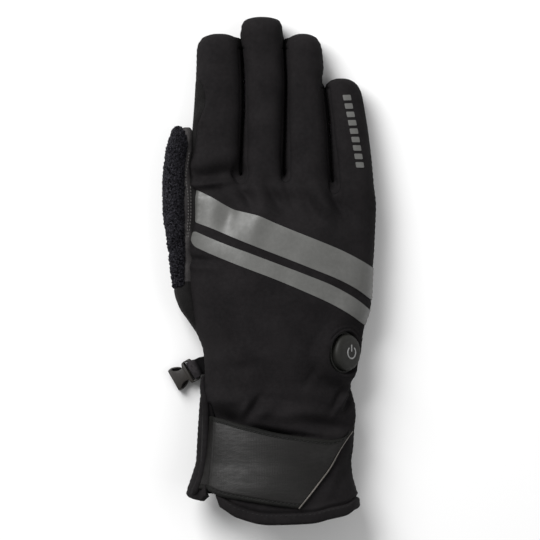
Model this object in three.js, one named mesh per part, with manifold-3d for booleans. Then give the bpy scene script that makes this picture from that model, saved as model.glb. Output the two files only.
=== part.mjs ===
// A right-hand heated winter glove, lying palm down with its fingers along +Y and its back up (+Z).
// Units are millimetres. While it is drawn, x = 0 is the middle of the hand, y = 0 the wrist crease
// and z = 0 the table. The finished group is then moved so that the origin is the bottom centre.
import * as THREE from "three";
import { mergeVertices } from "three/addons/utils/BufferGeometryUtils.js";
import Module from "manifold-3d";

const wasm = await Module();
wasm.setup();

// Sizes of the hand
const HAND_LENGTH = 118; // wrist crease to the fork of the index finger
const HAND_WIDTH = 106; // across the palm, thumb left out
const HAND_THICKNESS = 37;
const LITTLE_FORK_DROP = 6.5; // how far the little finger's fork sits below the others
const INNER_REACH = 2.2; // how much deeper the finger hollows start in the hand than the fingers
const WALL = 3; // softshell or leather with its insulation and lining
const SEAM_HEIGHT = 15; // where back and palm meet along the sides of the hand
const TIP_SEAM_HEIGHT = 10.5; // the same at the finger tips, which droop to the table

// Sizes of the fingers: length from the fork, width at the root, width near the tip, thickness
const INDEX_LENGTH = 80.5;
const MIDDLE_LENGTH = 90;
const RING_LENGTH = 80.5;
const LITTLE_LENGTH = 62;
const INDEX_WIDTH = 29.4;
const MIDDLE_WIDTH = 23.2;
const RING_WIDTH = 25.4;
const LITTLE_WIDTH = 22.2;
const FINGER_THICKNESS = 22.5;
const FINGER_GAP = 1.2; // left between neighbours at their roots
const FINGER_SQUARE = 2.3; // how square a finger's section is: 2 is an ellipse
const FOURCHETTE_HEIGHT = 9;
const FOURCHETTE_REACH = 0.86; // how far up the shorter finger the strip runs, as a share of it

// Sizes of the thumb, which lies flattened beside the hand
const THUMB_REACH = 146; // wrist crease to the thumb's tip
const THUMB_WIDTH = 12.5; // as it lies, seen from above
const THUMB_THICKNESS = 25;
const THUMB_SQUARE = 2.2;
const THUMB_WALL = 2; // its padding is squeezed flat
const TERRY_START = 0.39; // where the pile fabric begins, as a share of the thumb's reach
const TERRY_EDGE = 0.36; // height of its lower edge, as a share of the thumb's thickness

// Sizes of the cuff
const CUFF_LENGTH = 63; // wrist crease to the hem at the thumb side
const HEM_DIP = 14; // how much longer the cuff is at the middle of the back
const CUFF_WIDTH = 96; // across the mouth
const CUFF_THICKNESS = 44; // height of the mouth
const CUFF_WALL = 2.6;
const HEM_WIDTH = 6.5;
const HEM_RAISE = 0.7; // how far the folded hem stands out
const SLIT_LENGTH = 54; // opening on the thumb side, up from the hem
const BINDING_WIDTH = 3.6; // rolled edge along the slit

// Sizes of what is sewn, printed or fitted on
const STRAP_WIDTH = 42; // at the slit
const STRAP_THICKNESS = 2.2;
const STRAP_DROP = 17; // from the wrist crease to the strap's upper edge, at the slit
const WIDE_STRIPE = 18.2; // measured along the hand
const NARROW_STRIPE = 9.2;
const NARROW_START = -0.935; // its left end, as a share of half the hand's width
const STRIPE_SPACE = 6.8;
const FILM = 0.6; // thickness of the reflective stripes
const BUTTON_DIAMETER = 20.6;
const BUTTON_HEIGHT = 3.6;
const BUTTON_RIM = 1.8; // width of the moulded rim round the button
const BUTTON_ALONG = 0.17; // its place as a share of the hand's length
const BUTTON_ACROSS = 0.705; // and as a share of half the hand's width
const BUTTON_TILT = 46; // degrees that the button leans towards the little finger's side
const SIDE_WRAP = 5; // widest part of the palm leather that shows beside the back panel
const BUCKLE_WIDTH = 13.4;
const BUCKLE_LENGTH = 15;
const BUCKLE_THICKNESS = 7;
const BUCKLE_WALL = 1.3;
const BUCKLE_TURN = 27; // degrees that the buckle points up from the -X axis
const PLATE_THICKNESS = 3.4; // of the end that carries the bar
const BAR_WIDTH = 2.2;
const SLOT_WIDTH = 2.6;
const SOCKET_DEPTH = 9;
const WEBBING_WIDTH = 10;
const WEBBING_THICKNESS = 1.1;
const WEBBING_RUN = 9.5; // from the bar to the glove
const WEBBING_LIFT = 5.5; // how far it rises on the way
const WEBBING_ALONG = 0.115; // where it leaves the wrist, as a share of the hand's length
const GAP = 0.3; // clearance between pieces that touch

// Number of sides of the faceted tubes
const HAND_SIDES = 28;
const FINGER_SIDES = 14;
const THUMB_SIDES = 14;
const BUTTON_SIDES = 32;
const BINDING_SIDES = 8;

// Sections of the hand, from the wrist crease (along 0) to the knuckle line (along 1).
// left and right are shares of half the hand's width, crest, belt and sole shares of its thickness.
const HAND_SECTIONS = [
  { along: 0.0, left: -0.77, right: 0.735, crest: 0.88, belt: 0.4, sole: -0.05, square: 2.3 },
  { along: 0.08, left: -0.8, right: 0.77, crest: 0.93, belt: 0.4, sole: -0.06, square: 2.2 },
  { along: 0.17, left: -0.815, right: 0.84, crest: 0.98, belt: 0.4, sole: -0.07, square: 2.15 },
  { along: 0.29, left: -0.91, right: 0.885, crest: 1.0, belt: 0.4, sole: -0.07, square: 2.15 },
  { along: 0.4, left: -0.967, right: 0.957, crest: 1.0, belt: 0.4, sole: -0.07, square: 2.2 },
  { along: 0.54, left: -1.0, right: 0.972, crest: 0.97, belt: 0.4, sole: -0.06, square: 2.3 },
  { along: 0.7, left: -1.0, right: 0.995, crest: 0.91, belt: 0.4, sole: -0.05, square: 2.4 },
  { along: 0.86, left: -0.995, right: 1.005, crest: 0.83, belt: 0.4, sole: -0.03, square: 2.5 },
  { along: 0.95, left: -0.99, right: 0.99, crest: 0.76, belt: 0.4, sole: 0.02, square: 2.5 },
  { along: 1.0, left: -0.975, right: 0.975, crest: 0.69, belt: 0.4, sole: 0.08, square: 2.5 },
];

// Soft folds in the back, by the place of their middles. along, length and width are shares of the
// hand's length (along is below 0 on the cuff), across is a share of half its width and height of its
// thickness, negative for a dent. turn is the fold's direction in degrees from +X.
const FOLDS = [
  { along: 0.99, across: -0.68, turn: 12, length: 0.12, width: 0.029, height: -0.035 },
  { along: 0.93, across: -0.31, turn: -65, length: 0.07, width: 0.034, height: -0.032 },
  { along: 0.93, across: 0.3, turn: -55, length: 0.085, width: 0.034, height: -0.032 },
  { along: 0.85, across: 0.74, turn: -60, length: 0.085, width: 0.038, height: -0.027 },
  { along: 0.12, across: 0.45, turn: -52, length: 0.12, width: 0.042, height: 0.03 },
  { along: -0.02, across: 0.42, turn: 60, length: 0.07, width: 0.034, height: -0.027 },
  { along: -0.05, across: -0.85, turn: -20, length: 0.07, width: 0.034, height: 0.032 },
  { along: -0.12, across: -0.55, turn: 8, length: 0.085, width: 0.034, height: -0.043 },
  { along: -0.17, across: 0.12, turn: 4, length: 0.17, width: 0.042, height: 0.049 },
];

// Sections of a finger, from inside the hand (along below 0) to its tip (along 1).
// wide is a share of the width there, thick a share of the thickness.
const FINGER_SECTIONS = [
  { along: -0.16, wide: 0.9, thick: 0.8 },
  { along: 0.0, wide: 1.0, thick: 1.0 },
  { along: 0.25, wide: 1.0, thick: 1.0 },
  { along: 0.5, wide: 1.0, thick: 0.98 },
  { along: 0.74, wide: 1.0, thick: 0.96 },
  { along: 0.87, wide: 0.97, thick: 0.9 },
  { along: 0.945, wide: 0.86, thick: 0.77 },
  { along: 0.982, wide: 0.66, thick: 0.56 },
  { along: 1.0, wide: 0.36, thick: 0.28 },
];

// The four fingers from the thumb side. taper is the width at the tip as a share of that at the root.
// lean moves the tip and bow the middle sideways, as shares of the width.
const FINGERS = [
  { name: "index", length: INDEX_LENGTH, width: INDEX_WIDTH, taper: 0.83, lean: 0.1, bow: 0.041 },
  { name: "middle", length: MIDDLE_LENGTH, width: MIDDLE_WIDTH, taper: 1.1, lean: -0.034, bow: 0.06 },
  { name: "ring", length: RING_LENGTH, width: RING_WIDTH, taper: 0.76, lean: -0.135, bow: 0.016 },
  { name: "little", length: LITTLE_LENGTH, width: LITTLE_WIDTH, taper: 0.86, lean: -0.315, bow: 0.0585 },
];

// Sections of the thumb by its reach from the wrist crease. outside and inside say how far its two
// sides stand off the hand's side, as shares of the thumb's width. thick is a share of its thickness.
const THUMB_SECTIONS = [
  { along: 0.2, outside: -0.35, inside: -1.3, thick: 0.5 },
  { along: 0.255, outside: 0.0, inside: -1.25, thick: 0.7 },
  { along: 0.3, outside: 0.28, inside: -1.05, thick: 0.85 },
  { along: 0.345, outside: 0.47, inside: -0.85, thick: 0.95 },
  { along: 0.46, outside: 0.65, inside: -0.4, thick: 1.0 },
  { along: 0.56, outside: 0.79, inside: 0.03, thick: 1.0 },
  { along: 0.69, outside: 1.0, inside: 0.08, thick: 1.0 },
  { along: 0.83, outside: 1.02, inside: 0.07, thick: 1.0 },
  { along: 0.92, outside: 0.91, inside: -0.07, thick: 0.88 },
  { along: 0.966, outside: 0.75, inside: -0.2, thick: 0.68 },
  { along: 0.99, outside: 0.6, inside: -0.12, thick: 0.45 },
  { along: 1.0, outside: 0.46, inside: 0.05, thick: 0.2 },
];

// Sections of the cuff, from the wrist crease (along 0) to the mouth (along 1).
// left and right are shares of half the mouth's width, heights are shares of the mouth's height.
const CUFF_SECTIONS = [
  { along: 0.0, left: -0.89, right: 0.82, crest: 0.74, belt: 0.33, sole: -0.04, square: 2.3 },
  { along: 0.05, left: -0.94, right: 0.845, crest: 0.76, belt: 0.34, sole: -0.04, square: 2.2 },
  { along: 0.16, left: -0.95, right: 0.868, crest: 0.78, belt: 0.34, sole: -0.04, square: 2.2 },
  { along: 0.53, left: -0.975, right: 0.845, crest: 0.82, belt: 0.36, sole: -0.04, square: 2.1 },
  { along: 0.65, left: -0.985, right: 0.825, crest: 0.85, belt: 0.36, sole: -0.04, square: 2.1 },
  { along: 0.75, left: -1.02, right: 0.833, crest: 0.9, belt: 0.38, sole: -0.04, square: 2.1 },
  { along: 0.96, left: -1.1, right: 0.895, crest: 0.98, belt: 0.4, sole: -0.03, square: 2.1 },
  { along: 1.25, left: -1.12, right: 0.91, crest: 1.0, belt: 0.4, sole: -0.03, square: 2.1 },
];

// The hem round the mouth, by turn in degrees from the little finger's side over the back.
// drop is a share of the dip.
const HEM_LINE = [
  { turn: 0, drop: 0.3 },
  { turn: 15, drop: 0.34 },
  { turn: 30, drop: 0.58 },
  { turn: 48, drop: 0.76 },
  { turn: 64, drop: 0.95 },
  { turn: 91, drop: 1.0 },
  { turn: 112, drop: 0.74 },
  { turn: 127, drop: 0.26 },
  { turn: 140, drop: 0.02 },
  { turn: 165, drop: -0.15 },
  { turn: 200, drop: -0.3 },
  { turn: 270, drop: -0.1 },
  { turn: 360, drop: 0.3 },
];

// The slit in the cuff, from its top (along 0) past the hem. left and right are its edges as shares
// of half the cuff's width.
const SLIT_EDGES = [
  { along: 0.0, left: -0.83, right: -0.815 },
  { along: 0.15, left: -0.838, right: -0.79 },
  { along: 0.85, left: -0.845, right: -0.785 },
  { along: 1.02, left: -0.87, right: -0.72 },
  { along: 1.5, left: -0.9, right: -0.6 },
];

// The outline of the wrist strap: its upper edge from the slit to the point at the little finger's
// side, then its lower edge back. across is a share of half the cuff's width, down of the strap's.
const STRAP_OUTLINE = [
  { across: -0.775, down: 0.0 },
  { across: -0.68, down: 0.08 },
  { across: -0.47, down: 0.16 },
  { across: -0.24, down: 0.17 },
  { across: 0.0, down: 0.225 },
  { across: 0.23, down: 0.25 },
  { across: 0.56, down: 0.265 },
  { across: 0.73, down: 0.23 },
  { across: 0.87, down: 0.17 },
  { across: 0.87, down: 0.2 },
  { across: 0.78, down: 0.27 },
  { across: 0.69, down: 0.42 },
  { across: 0.58, down: 0.64 },
  { across: 0.34, down: 1.0 },
  { across: 0.21, down: 1.175 },
  { across: 0.0, down: 1.148 },
  { across: -0.24, down: 1.107 },
  { across: -0.47, down: 1.067 },
  { across: -0.68, down: 1.026 },
  { across: -0.775, down: 1.0 },
];

// The upper edge of the wide stripe. across is a share of half the hand's width, up of its length.
const STRIPE_LINE = [
  { across: -0.895, up: 0.943 },
  { across: -0.79, up: 0.928 },
  { across: -0.62, up: 0.88 },
  { across: -0.43, up: 0.843 },
  { across: 0.0, up: 0.785 },
  { across: 0.42, up: 0.705 },
  { across: 0.73, up: 0.643 },
  { across: 0.9, up: 0.6 },
  { across: 0.97, up: 0.578 },
];

// How far the palm leather wraps onto the back on the thumb side. along is a share of the hand's
// length, and wrap a share of its widest part.
const SIDE_SEAM = [
  { along: 0.62, wrap: -0.4 },
  { along: 0.68, wrap: 0.32 },
  { along: 0.73, wrap: 0.75 },
  { along: 0.79, wrap: 1.0 },
  { along: 0.92, wrap: 0.94 },
  { along: 0.985, wrap: 0.32 },
  { along: 1.03, wrap: 0.22 },
  { along: 1.25, wrap: 0.36 },
  { along: 1.33, wrap: 0.9 },
  { along: 1.38, wrap: 1.0 },
  { along: 1.43, wrap: 0.5 },
  { along: 1.46, wrap: -0.4 },
];

const degrees = (angle) => (angle * Math.PI) / 180;
const mix = (from, to, share) => from + (to - from) * share;

// A row of a table read between its rows, at place along its first column.
function rowAt(table, place, key = "along") {
  const next = table.findIndex((row) => row[key] >= place);
  if (next === 0) return table[0];
  if (next < 0) return table[table.length - 1];
  const before = table[next - 1];
  const after = table[next];
  const share = (place - before[key]) / (after[key] - before[key]);
  return Object.fromEntries(Object.keys(after).map((k) => [k, mix(before[k], after[k], share)]));
}

// A solid from a closed triangle mesh, turned to face out.
function solidOf(points, triangles) {
  const geometry = new THREE.BufferGeometry().setFromPoints(points);
  geometry.setIndex(triangles);
  return solidOfGeometry(geometry);
}

function solidOfGeometry(source) {
  const geometry = source.clone();
  geometry.deleteAttribute("normal");
  geometry.deleteAttribute("uv");
  const merged = mergeVertices(geometry, 1e-4);
  const place = merged.attributes.position.array;
  const corners = merged.index.array;
  let volume = 0;
  const at = (i) => new THREE.Vector3().fromArray(place, 3 * corners[i]);
  for (let i = 0; i < corners.length; i += 3) {
    volume += at(i).dot(at(i + 1).cross(at(i + 2)));
  }
  const triVerts = new Uint32Array(corners);
  if (volume < 0) triVerts.reverse();
  return new wasm.Manifold(new wasm.Mesh({ numProp: 3, vertProperties: place, triVerts }));
}

// A closed tube through rings of points, each with the same number of points.
function skin(rings) {
  const sides = rings[0].length;
  const points = rings.flat();
  const triangles = [];
  for (let ring = 0; ring + 1 < rings.length; ring++) {
    for (let side = 0; side < sides; side++) {
      const a = ring * sides + side;
      const b = ring * sides + ((side + 1) % sides);
      triangles.push(a, b, b + sides, a, b + sides, a + sides);
    }
  }
  for (const end of [0, rings.length - 1]) {
    const centre = new THREE.Vector3();
    rings[end].forEach((point) => centre.addScaledVector(point, 1 / sides));
    const hub = points.push(centre) - 1;
    for (let side = 0; side < sides; side++) {
      const a = end * sides + side;
      const b = end * sides + ((side + 1) % sides);
      triangles.push(...(end === 0 ? [hub, b, a] : [hub, a, b]));
    }
  }
  return solidOf(points, triangles);
}

// A thin closed sheet between an outer and an inner grid of points.
function sheet(outer, inner) {
  const rows = outer.length;
  const columns = outer[0].length;
  const points = [...outer.flat(), ...inner.flat()];
  const half = rows * columns;
  const triangles = [];
  const quad = (a, b, c, d) => triangles.push(a, b, c, a, c, d);
  const id = (row, column) => row * columns + column;
  for (let row = 0; row + 1 < rows; row++) {
    for (let column = 0; column + 1 < columns; column++) {
      const corners = [id(row, column), id(row, column + 1), id(row + 1, column + 1), id(row + 1, column)];
      quad(...corners);
      quad(...corners.map((corner) => corner + half).reverse());
    }
  }
  const rim = [];
  for (let column = 0; column + 1 < columns; column++) rim.push(id(0, column));
  for (let row = 0; row + 1 < rows; row++) rim.push(id(row, columns - 1));
  for (let column = columns - 1; column > 0; column--) rim.push(id(rows - 1, column));
  for (let row = rows - 1; row > 0; row--) rim.push(id(row, 0));
  rim.forEach((a, i) => {
    const b = rim[(i + 1) % rim.length];
    quad(b, a, a + half, b + half);
  });
  return solidOf(points, triangles);
}

// A prism over an outline of [x, y] points between two heights.
function prism(outline, low, high) {
  const shape = new THREE.Shape(outline.map(([x, y]) => new THREE.Vector2(x, y)));
  const geometry = new THREE.ExtrudeGeometry(shape, { depth: high - low, bevelEnabled: false });
  return solidOfGeometry(geometry).translate([0, 0, low]);
}

// A prism over a side outline of [y, z] points, which runs right across the glove.
function sidePrism(outline) {
  const span = 3 * HAND_WIDTH;
  return prism(outline, -span, span).transform([0, 1, 0, 0, 0, 0, 1, 0, 1, 0, 0, 0, 0, 0, 0, 1]);
}

// How far the folds raise or lower the back at x, y.
function foldAt(x, y) {
  return FOLDS.reduce((sum, { along, across, turn, length, width, height }) => {
    const dx = x - (across * HAND_WIDTH) / 2;
    const dy = y - along * HAND_LENGTH;
    const run = (dx * Math.cos(degrees(turn)) + dy * Math.sin(degrees(turn))) / length;
    const aside = (dy * Math.cos(degrees(turn)) - dx * Math.sin(degrees(turn))) / width;
    const near = Math.exp(-(run * run + aside * aside) / HAND_LENGTH ** 2);
    return sum + height * HAND_THICKNESS * near;
  }, 0);
}

// One point of a section's rim. A section is a superellipse that the table flattens from below.
function rimPoint(section, turn, offset, floor = -offset) {
  const { left, right, crest, belt, sole, square } = section;
  const reach = (right - left) / 2 + offset;
  const cosine = Math.cos(turn);
  const sine = Math.sin(turn);
  const rise = (sine > 0 ? crest - belt : belt - sole) + offset;
  const x = (left + right) / 2 + reach * Math.sign(cosine) * Math.abs(cosine) ** (2 / square);
  const z = belt + rise * Math.sign(sine) * Math.abs(sine) ** (2 / square);
  return { x, z: Math.max(z, floor) };
}

const turnsOf = (sides) => Array.from({ length: sides }, (_, side) => (2 * Math.PI * side) / sides);

// The height of a section's upper surface over x.
function crestHeight(section, x, offset) {
  const { left, right, crest, belt, square } = section;
  const share = Math.min(1, Math.abs(x - (left + right) / 2) / ((right - left) / 2 + offset));
  return belt + (crest - belt + offset) * (1 - share ** square) ** (1 / square);
}

// The hand

const fingerWidths = FINGERS.reduce((sum, finger) => sum + finger.width, 0);
const rootRow = fingerWidths + FINGER_GAP * (FINGERS.length - 1);

let nextRoot = -rootRow / 2;
for (const finger of FINGERS) {
  finger.root = nextRoot + finger.width / 2;
  nextRoot += finger.width + FINGER_GAP;
}
const [indexFinger, middleFinger, ringFinger, littleFinger] = FINGERS;

// How far up the hand ends at x: level over three fingers, then lower at the little finger's fork.
function knuckleLine(x) {
  const share = (x - ringFinger.root) / (littleFinger.root - ringFinger.root);
  return HAND_LENGTH - LITTLE_FORK_DROP * THREE.MathUtils.smoothstep(share, 0, 1);
}

function handSection(along) {
  const row = rowAt(HAND_SECTIONS, along);
  const half = Math.max(HAND_WIDTH, rootRow) / 2;
  return {
    left: row.left * half,
    right: row.right * half,
    crest: row.crest * HAND_THICKNESS,
    belt: row.belt * HAND_THICKNESS,
    sole: row.sole * HAND_THICKNESS,
    square: row.square,
  };
}

function handTube(offset, start = 0) {
  const folded = offset < 0 ? [] : FOLDS.filter(({ along }) => along > 0);
  const places = [...HAND_SECTIONS, ...folded].map(({ along }) => along).sort((a, b) => a - b);
  const rings = places.map((along) =>
    turnsOf(HAND_SIDES).map((turn) => {
      const { x, z } = rimPoint(handSection(along), turn, offset);
      const y = along * (knuckleLine(x) + Math.min(offset, 0));
      const lift = offset < 0 || turn >= Math.PI ? 0 : foldAt(x, y) * Math.sin(turn);
      return new THREE.Vector3(x, y, z + lift);
    }),
  );
  if (start < 0) rings.unshift(rings[0].map((point) => new THREE.Vector3(point.x, start, point.z)));
  return skin(rings);
}

// The fingers

function fingerSection(finger, along, offset) {
  const { wide, thick } = rowAt(FINGER_SECTIONS, along);
  const width = finger.width * wide * mix(1, finger.taper, Math.max(along, 0));
  const arch = along > 0 ? 4 * along * (1 - along) : 0;
  const middle = finger.root + finger.width * (finger.lean * along + finger.bow * arch);
  const belt = mix(SEAM_HEIGHT, TIP_SEAM_HEIGHT, Math.max(along, 0));
  const half = width / 2;
  const rise = (FINGER_THICKNESS * thick) / 2;
  const shrink = offset * Math.min(wide, 1);
  return {
    left: middle - half - shrink,
    right: middle + half + shrink,
    crest: belt + rise + shrink,
    belt,
    sole: belt - rise - shrink,
    square: FINGER_SQUARE,
  };
}

function fingerTube(finger, offset, buried = 1) {
  const fork = knuckleLine(finger.root);
  const rings = FINGER_SECTIONS.map(({ along }) => {
    const place = along < 0 ? along * buried : along;
    return turnsOf(FINGER_SIDES).map((turn) => {
      const { x, z } = rimPoint(fingerSection(finger, along, offset), turn, 0, -offset);
      return new THREE.Vector3(x, fork + place * (finger.length + offset), z);
    });
  });
  return skin(rings);
}

// The side of the hand and of the index finger, on the thumb's side.
function thumbSideAt(y) {
  const along = y / HAND_LENGTH;
  if (along <= 1) return handSection(along).left;
  const section = fingerSection(indexFinger, (y - HAND_LENGTH) / indexFinger.length, 0);
  return Math.max(section.left, handSection(1).left);
}

// The thumb

function thumbSection(along) {
  const { outside, inside, thick } = rowAt(THUMB_SECTIONS, along);
  const side = thumbSideAt(Math.min(along * THUMB_REACH, HAND_LENGTH));
  const belt = THUMB_THICKNESS / 2;
  const rise = (THUMB_THICKNESS * thick) / 2;
  return {
    left: side - outside * THUMB_WIDTH,
    right: side - inside * THUMB_WIDTH,
    crest: belt + rise,
    belt,
    sole: belt - rise,
    square: THUMB_SQUARE,
  };
}

function thumbTube(offset) {
  const rings = THUMB_SECTIONS.map(({ along, outside, inside }) =>
    turnsOf(THUMB_SIDES).map((turn) => {
      const shrink = offset * Math.min(1, 1.2 * (outside - inside));
      const { x, z } = rimPoint(thumbSection(along), turn, shrink);
      return new THREE.Vector3(x, along * (THUMB_REACH + offset), z);
    }),
  );
  return skin(rings);
}

// The cuff

function cuffSection(along) {
  const row = rowAt(CUFF_SECTIONS, along);
  return {
    left: (row.left * CUFF_WIDTH) / 2,
    right: (row.right * CUFF_WIDTH) / 2,
    crest: row.crest * CUFF_THICKNESS,
    belt: row.belt * CUFF_THICKNESS,
    sole: row.sole * CUFF_THICKNESS,
    square: row.square,
  };
}

const hemReach = (turn) => CUFF_LENGTH + HEM_DIP * rowAt(HEM_LINE, (turn * 180) / Math.PI, "turn").drop;

// The cuff as a closed tube. shares are its rings' places on the way to the hem. before and after
// move its two ends, in millimetres, towards the hand and past the hem.
function cuffTube(offset, shares, before = 0, after = 0) {
  const rings = shares.map((share, i) =>
    turnsOf(HAND_SIDES).map((turn) => {
      const extra = i === 0 ? -before : i === shares.length - 1 ? after : 0;
      const y = -share * hemReach(turn) - extra;
      const { x, z } = rimPoint(cuffSection(-y / CUFF_LENGTH), turn, offset, Math.max(0, -offset));
      const lift = offset < 0 || turn >= Math.PI ? 0 : foldAt(x, y) * Math.sin(turn);
      return new THREE.Vector3(x, y, z + lift);
    }),
  );
  return skin(rings);
}

// Whole forms, before they are cut into panels
const handOuter = handTube(0);
const handSeat = handTube(GAP);
const fingerOuters = FINGERS.map((finger) => fingerTube(finger, 0));
const fingerInners = FINGERS.map((finger) => fingerTube(finger, -WALL, INNER_REACH));
const thumbOuter = thumbTube(0);
const thumbInner = thumbTube(-THUMB_WALL);
const handInner = handTube(-WALL, -HAND_LENGTH / 4);
const outer = fingerOuters.reduce((whole, finger) => whole.add(finger), handOuter);
const inner = fingerInners.reduce((whole, finger) => whole.add(finger), handInner);
const shell = outer.subtract(inner).subtract(thumbInner);

// Seams between the panels
const farUp = 4 * HAND_THICKNESS;
const farOut = 3 * HAND_LENGTH;
const tipLine = HAND_LENGTH + MIDDLE_LENGTH;
const seamSlope = (SEAM_HEIGHT - TIP_SEAM_HEIGHT) / MIDDLE_LENGTH;

// The region above the seam between back and palm, or below it, with a height added.
function seamPrism(side, height) {
  const far = side * farUp;
  return sidePrism([
    [-farOut, SEAM_HEIGHT + height],
    [HAND_LENGTH, SEAM_HEIGHT + height],
    [tipLine + farOut, TIP_SEAM_HEIGHT - seamSlope * farOut + height],
    [tipLine + farOut, far],
    [-farOut, far],
  ]);
}

// The region on the thumb's side where the palm leather wraps onto the back.
function sideZone(extra) {
  const line = SIDE_SEAM.map(({ along, wrap }) => {
    const y = along * HAND_LENGTH;
    return [thumbSideAt(y) + wrap * SIDE_WRAP + extra, y];
  });
  const ends = [
    [-farOut, line.at(-1)[1] + extra],
    [-farOut, line[0][1] - extra],
  ];
  return prism([...line, ...ends], SEAM_HEIGHT / 2, farUp);
}

// The region of the strip between two neighbouring fingers.
function forkZone(first, second, extra) {
  const stop = Math.min(
    knuckleLine(first.root) + FOURCHETTE_REACH * first.length,
    knuckleLine(second.root) + FOURCHETTE_REACH * second.length,
  );
  const fork = Math.min(knuckleLine(first.root), knuckleLine(second.root));
  const start = fork - 2 * WALL - extra;
  const middleOf = (finger, y) => {
    const along = Math.max(0, (y - knuckleLine(finger.root)) / finger.length);
    const { left, right } = fingerSection(finger, along, 0);
    return (left + right) / 2;
  };
  const inset = 1.5 * WALL - extra;
  const heights = [start, fork, mix(fork, stop, 0.5), stop + extra];
  const leftSide = heights.map((y) => [middleOf(first, y) + inset, y]);
  const rightSide = heights.map((y) => [middleOf(second, y) - inset, y]).reverse();
  const low = SEAM_HEIGHT - FOURCHETTE_HEIGHT / 2 - extra;
  const region = prism([...leftSide, ...rightSide], low, low + FOURCHETTE_HEIGHT + 2 * extra);
  const shear = [1, 0, 0, 0, 0, 1, -seamSlope, 0, 0, 0, 1, 0, 0, 0, seamSlope * fork, 1];
  return region.transform(shear);
}

const FORKS = [
  { name: "fourchette_index_middle", first: indexFinger, second: middleFinger },
  { name: "fourchette_middle_ring", first: middleFinger, second: ringFinger },
  { name: "fourchette_ring_little", first: ringFinger, second: littleFinger },
];
const forkCuts = FORKS.map(({ first, second }) => forkZone(first, second, GAP));
const withoutForks = forkCuts.reduce((rest, cut) => rest.subtract(cut), shell);

const backPanel = withoutForks.intersect(seamPrism(1, GAP / 2)).subtract(sideZone(GAP));
const palmLower = withoutForks.intersect(seamPrism(-1, -GAP / 2));
const palmPanel = palmLower.add(withoutForks.intersect(sideZone(0)));
const fourchettes = FORKS.map(({ first, second }) => shell.intersect(forkZone(first, second, 0)));

// The thumb in two panels: pile fabric on its back, leather on its front and round its base
const terrySeam = TERRY_EDGE * THUMB_THICKNESS;
const terryZone = (extra) =>
  prism(
    [
      [-farOut, TERRY_START * THUMB_REACH - extra],
      [0, TERRY_START * THUMB_REACH - extra],
      [0, farOut],
      [-farOut, farOut],
    ],
    terrySeam - extra,
    farUp,
  );
const thumbShell = thumbOuter
  .subtract(thumbInner)
  .subtract(handSeat)
  .subtract(handInner)
  .subtract(fingerTube(indexFinger, GAP));
const thumbTerry = thumbShell.intersect(terryZone(0));
const thumbLeather = thumbShell.subtract(terryZone(GAP));

// The cuff with its slit, hem and rolled edge
const cuffShares = [0, 0.06, 0.18, 0.27, 0.4, 0.6, 0.8, 1, 1.2];
const hemShare = HEM_WIDTH / (CUFF_LENGTH + HEM_DIP);
const wallShares = cuffShares.filter((share) => share < 1 - hemShare);
const aboveHem = (extra) => cuffTube(3 * HEM_RAISE, [...wallShares, 1 - hemShare], 1, extra);
const aboveMouth = cuffTube(3 * HEM_RAISE, cuffShares.slice(0, -1), -GAP);
const cuffInner = cuffTube(-CUFF_WALL, cuffShares, HAND_LENGTH / 8);
const cuffTrimmed = cuffTube(0, cuffShares).intersect(aboveMouth).subtract(cuffInner);
const cuffBody = cuffTrimmed.intersect(aboveHem(-GAP));
const hemBand = cuffTube(HEM_RAISE, cuffShares)
  .intersect(aboveMouth)
  .subtract(cuffInner)
  .subtract(aboveHem(0));

// The slit runs from slitTop down to the hem, and its edges are read from the table.
const slitTop = SLIT_LENGTH - CUFF_LENGTH;
const slitEdge = (side, along) => (rowAt(SLIT_EDGES, along)[side] * CUFF_WIDTH) / 2;
const slitLine = (side) =>
  SLIT_EDGES.map(({ along }) => [slitEdge(side, along), slitTop - along * SLIT_LENGTH]);
const slit = prism([...slitLine("left"), ...slitLine("right").reverse()], SEAM_HEIGHT, farUp);
const cuff = cuffBody.subtract(slit);
const hem = hemBand.subtract(slit);

// A rolled edge of oval section along the left side of the slit, standing on the cuff's wall.
function bindingTube() {
  const radius = BINDING_WIDTH / 2;
  const rings = [0.02, 0.3, 0.6, 0.96].map((along) => {
    const x = slitEdge("left", along) - GAP - radius;
    const y = slitTop - along * SLIT_LENGTH;
    const seat = crestHeight(cuffSection(-y / CUFF_LENGTH), x, 0) + radius / 3;
    return turnsOf(BINDING_SIDES).map(
      (turn) => new THREE.Vector3(x + radius * Math.cos(turn), y, seat + radius * Math.sin(turn)),
    );
  });
  return skin(rings);
}
const cuffSeat = cuffTube(GAP, cuffShares, HAND_LENGTH / 8);
const hemSeat = cuffTube(HEM_RAISE + GAP, cuffShares).subtract(aboveHem(-GAP));
const slitBinding = bindingTube().subtract(cuffSeat).subtract(hemSeat);

// The wrist strap: a band over the back of the cuff with a long slanting end
const strapLine = STRAP_OUTLINE.map(({ across, down }) => [
  (across * CUFF_WIDTH) / 2,
  -STRAP_DROP - down * STRAP_WIDTH,
]);
const wristStrap = cuffTube(GAP + STRAP_THICKNESS, cuffShares, HAND_LENGTH / 8)
  .subtract(cuffSeat)
  .intersect(prism(strapLine, SEAM_HEIGHT + GAP, farUp));

// The reflective stripes: slanting bands across the back, which fall to the little finger's side
function seatAt(offset) {
  return FINGERS.reduce((whole, finger) => whole.add(fingerTube(finger, offset)), handTube(offset));
}
const stripeFilm = seatAt(GAP + FILM).subtract(seatAt(GAP));

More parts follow.
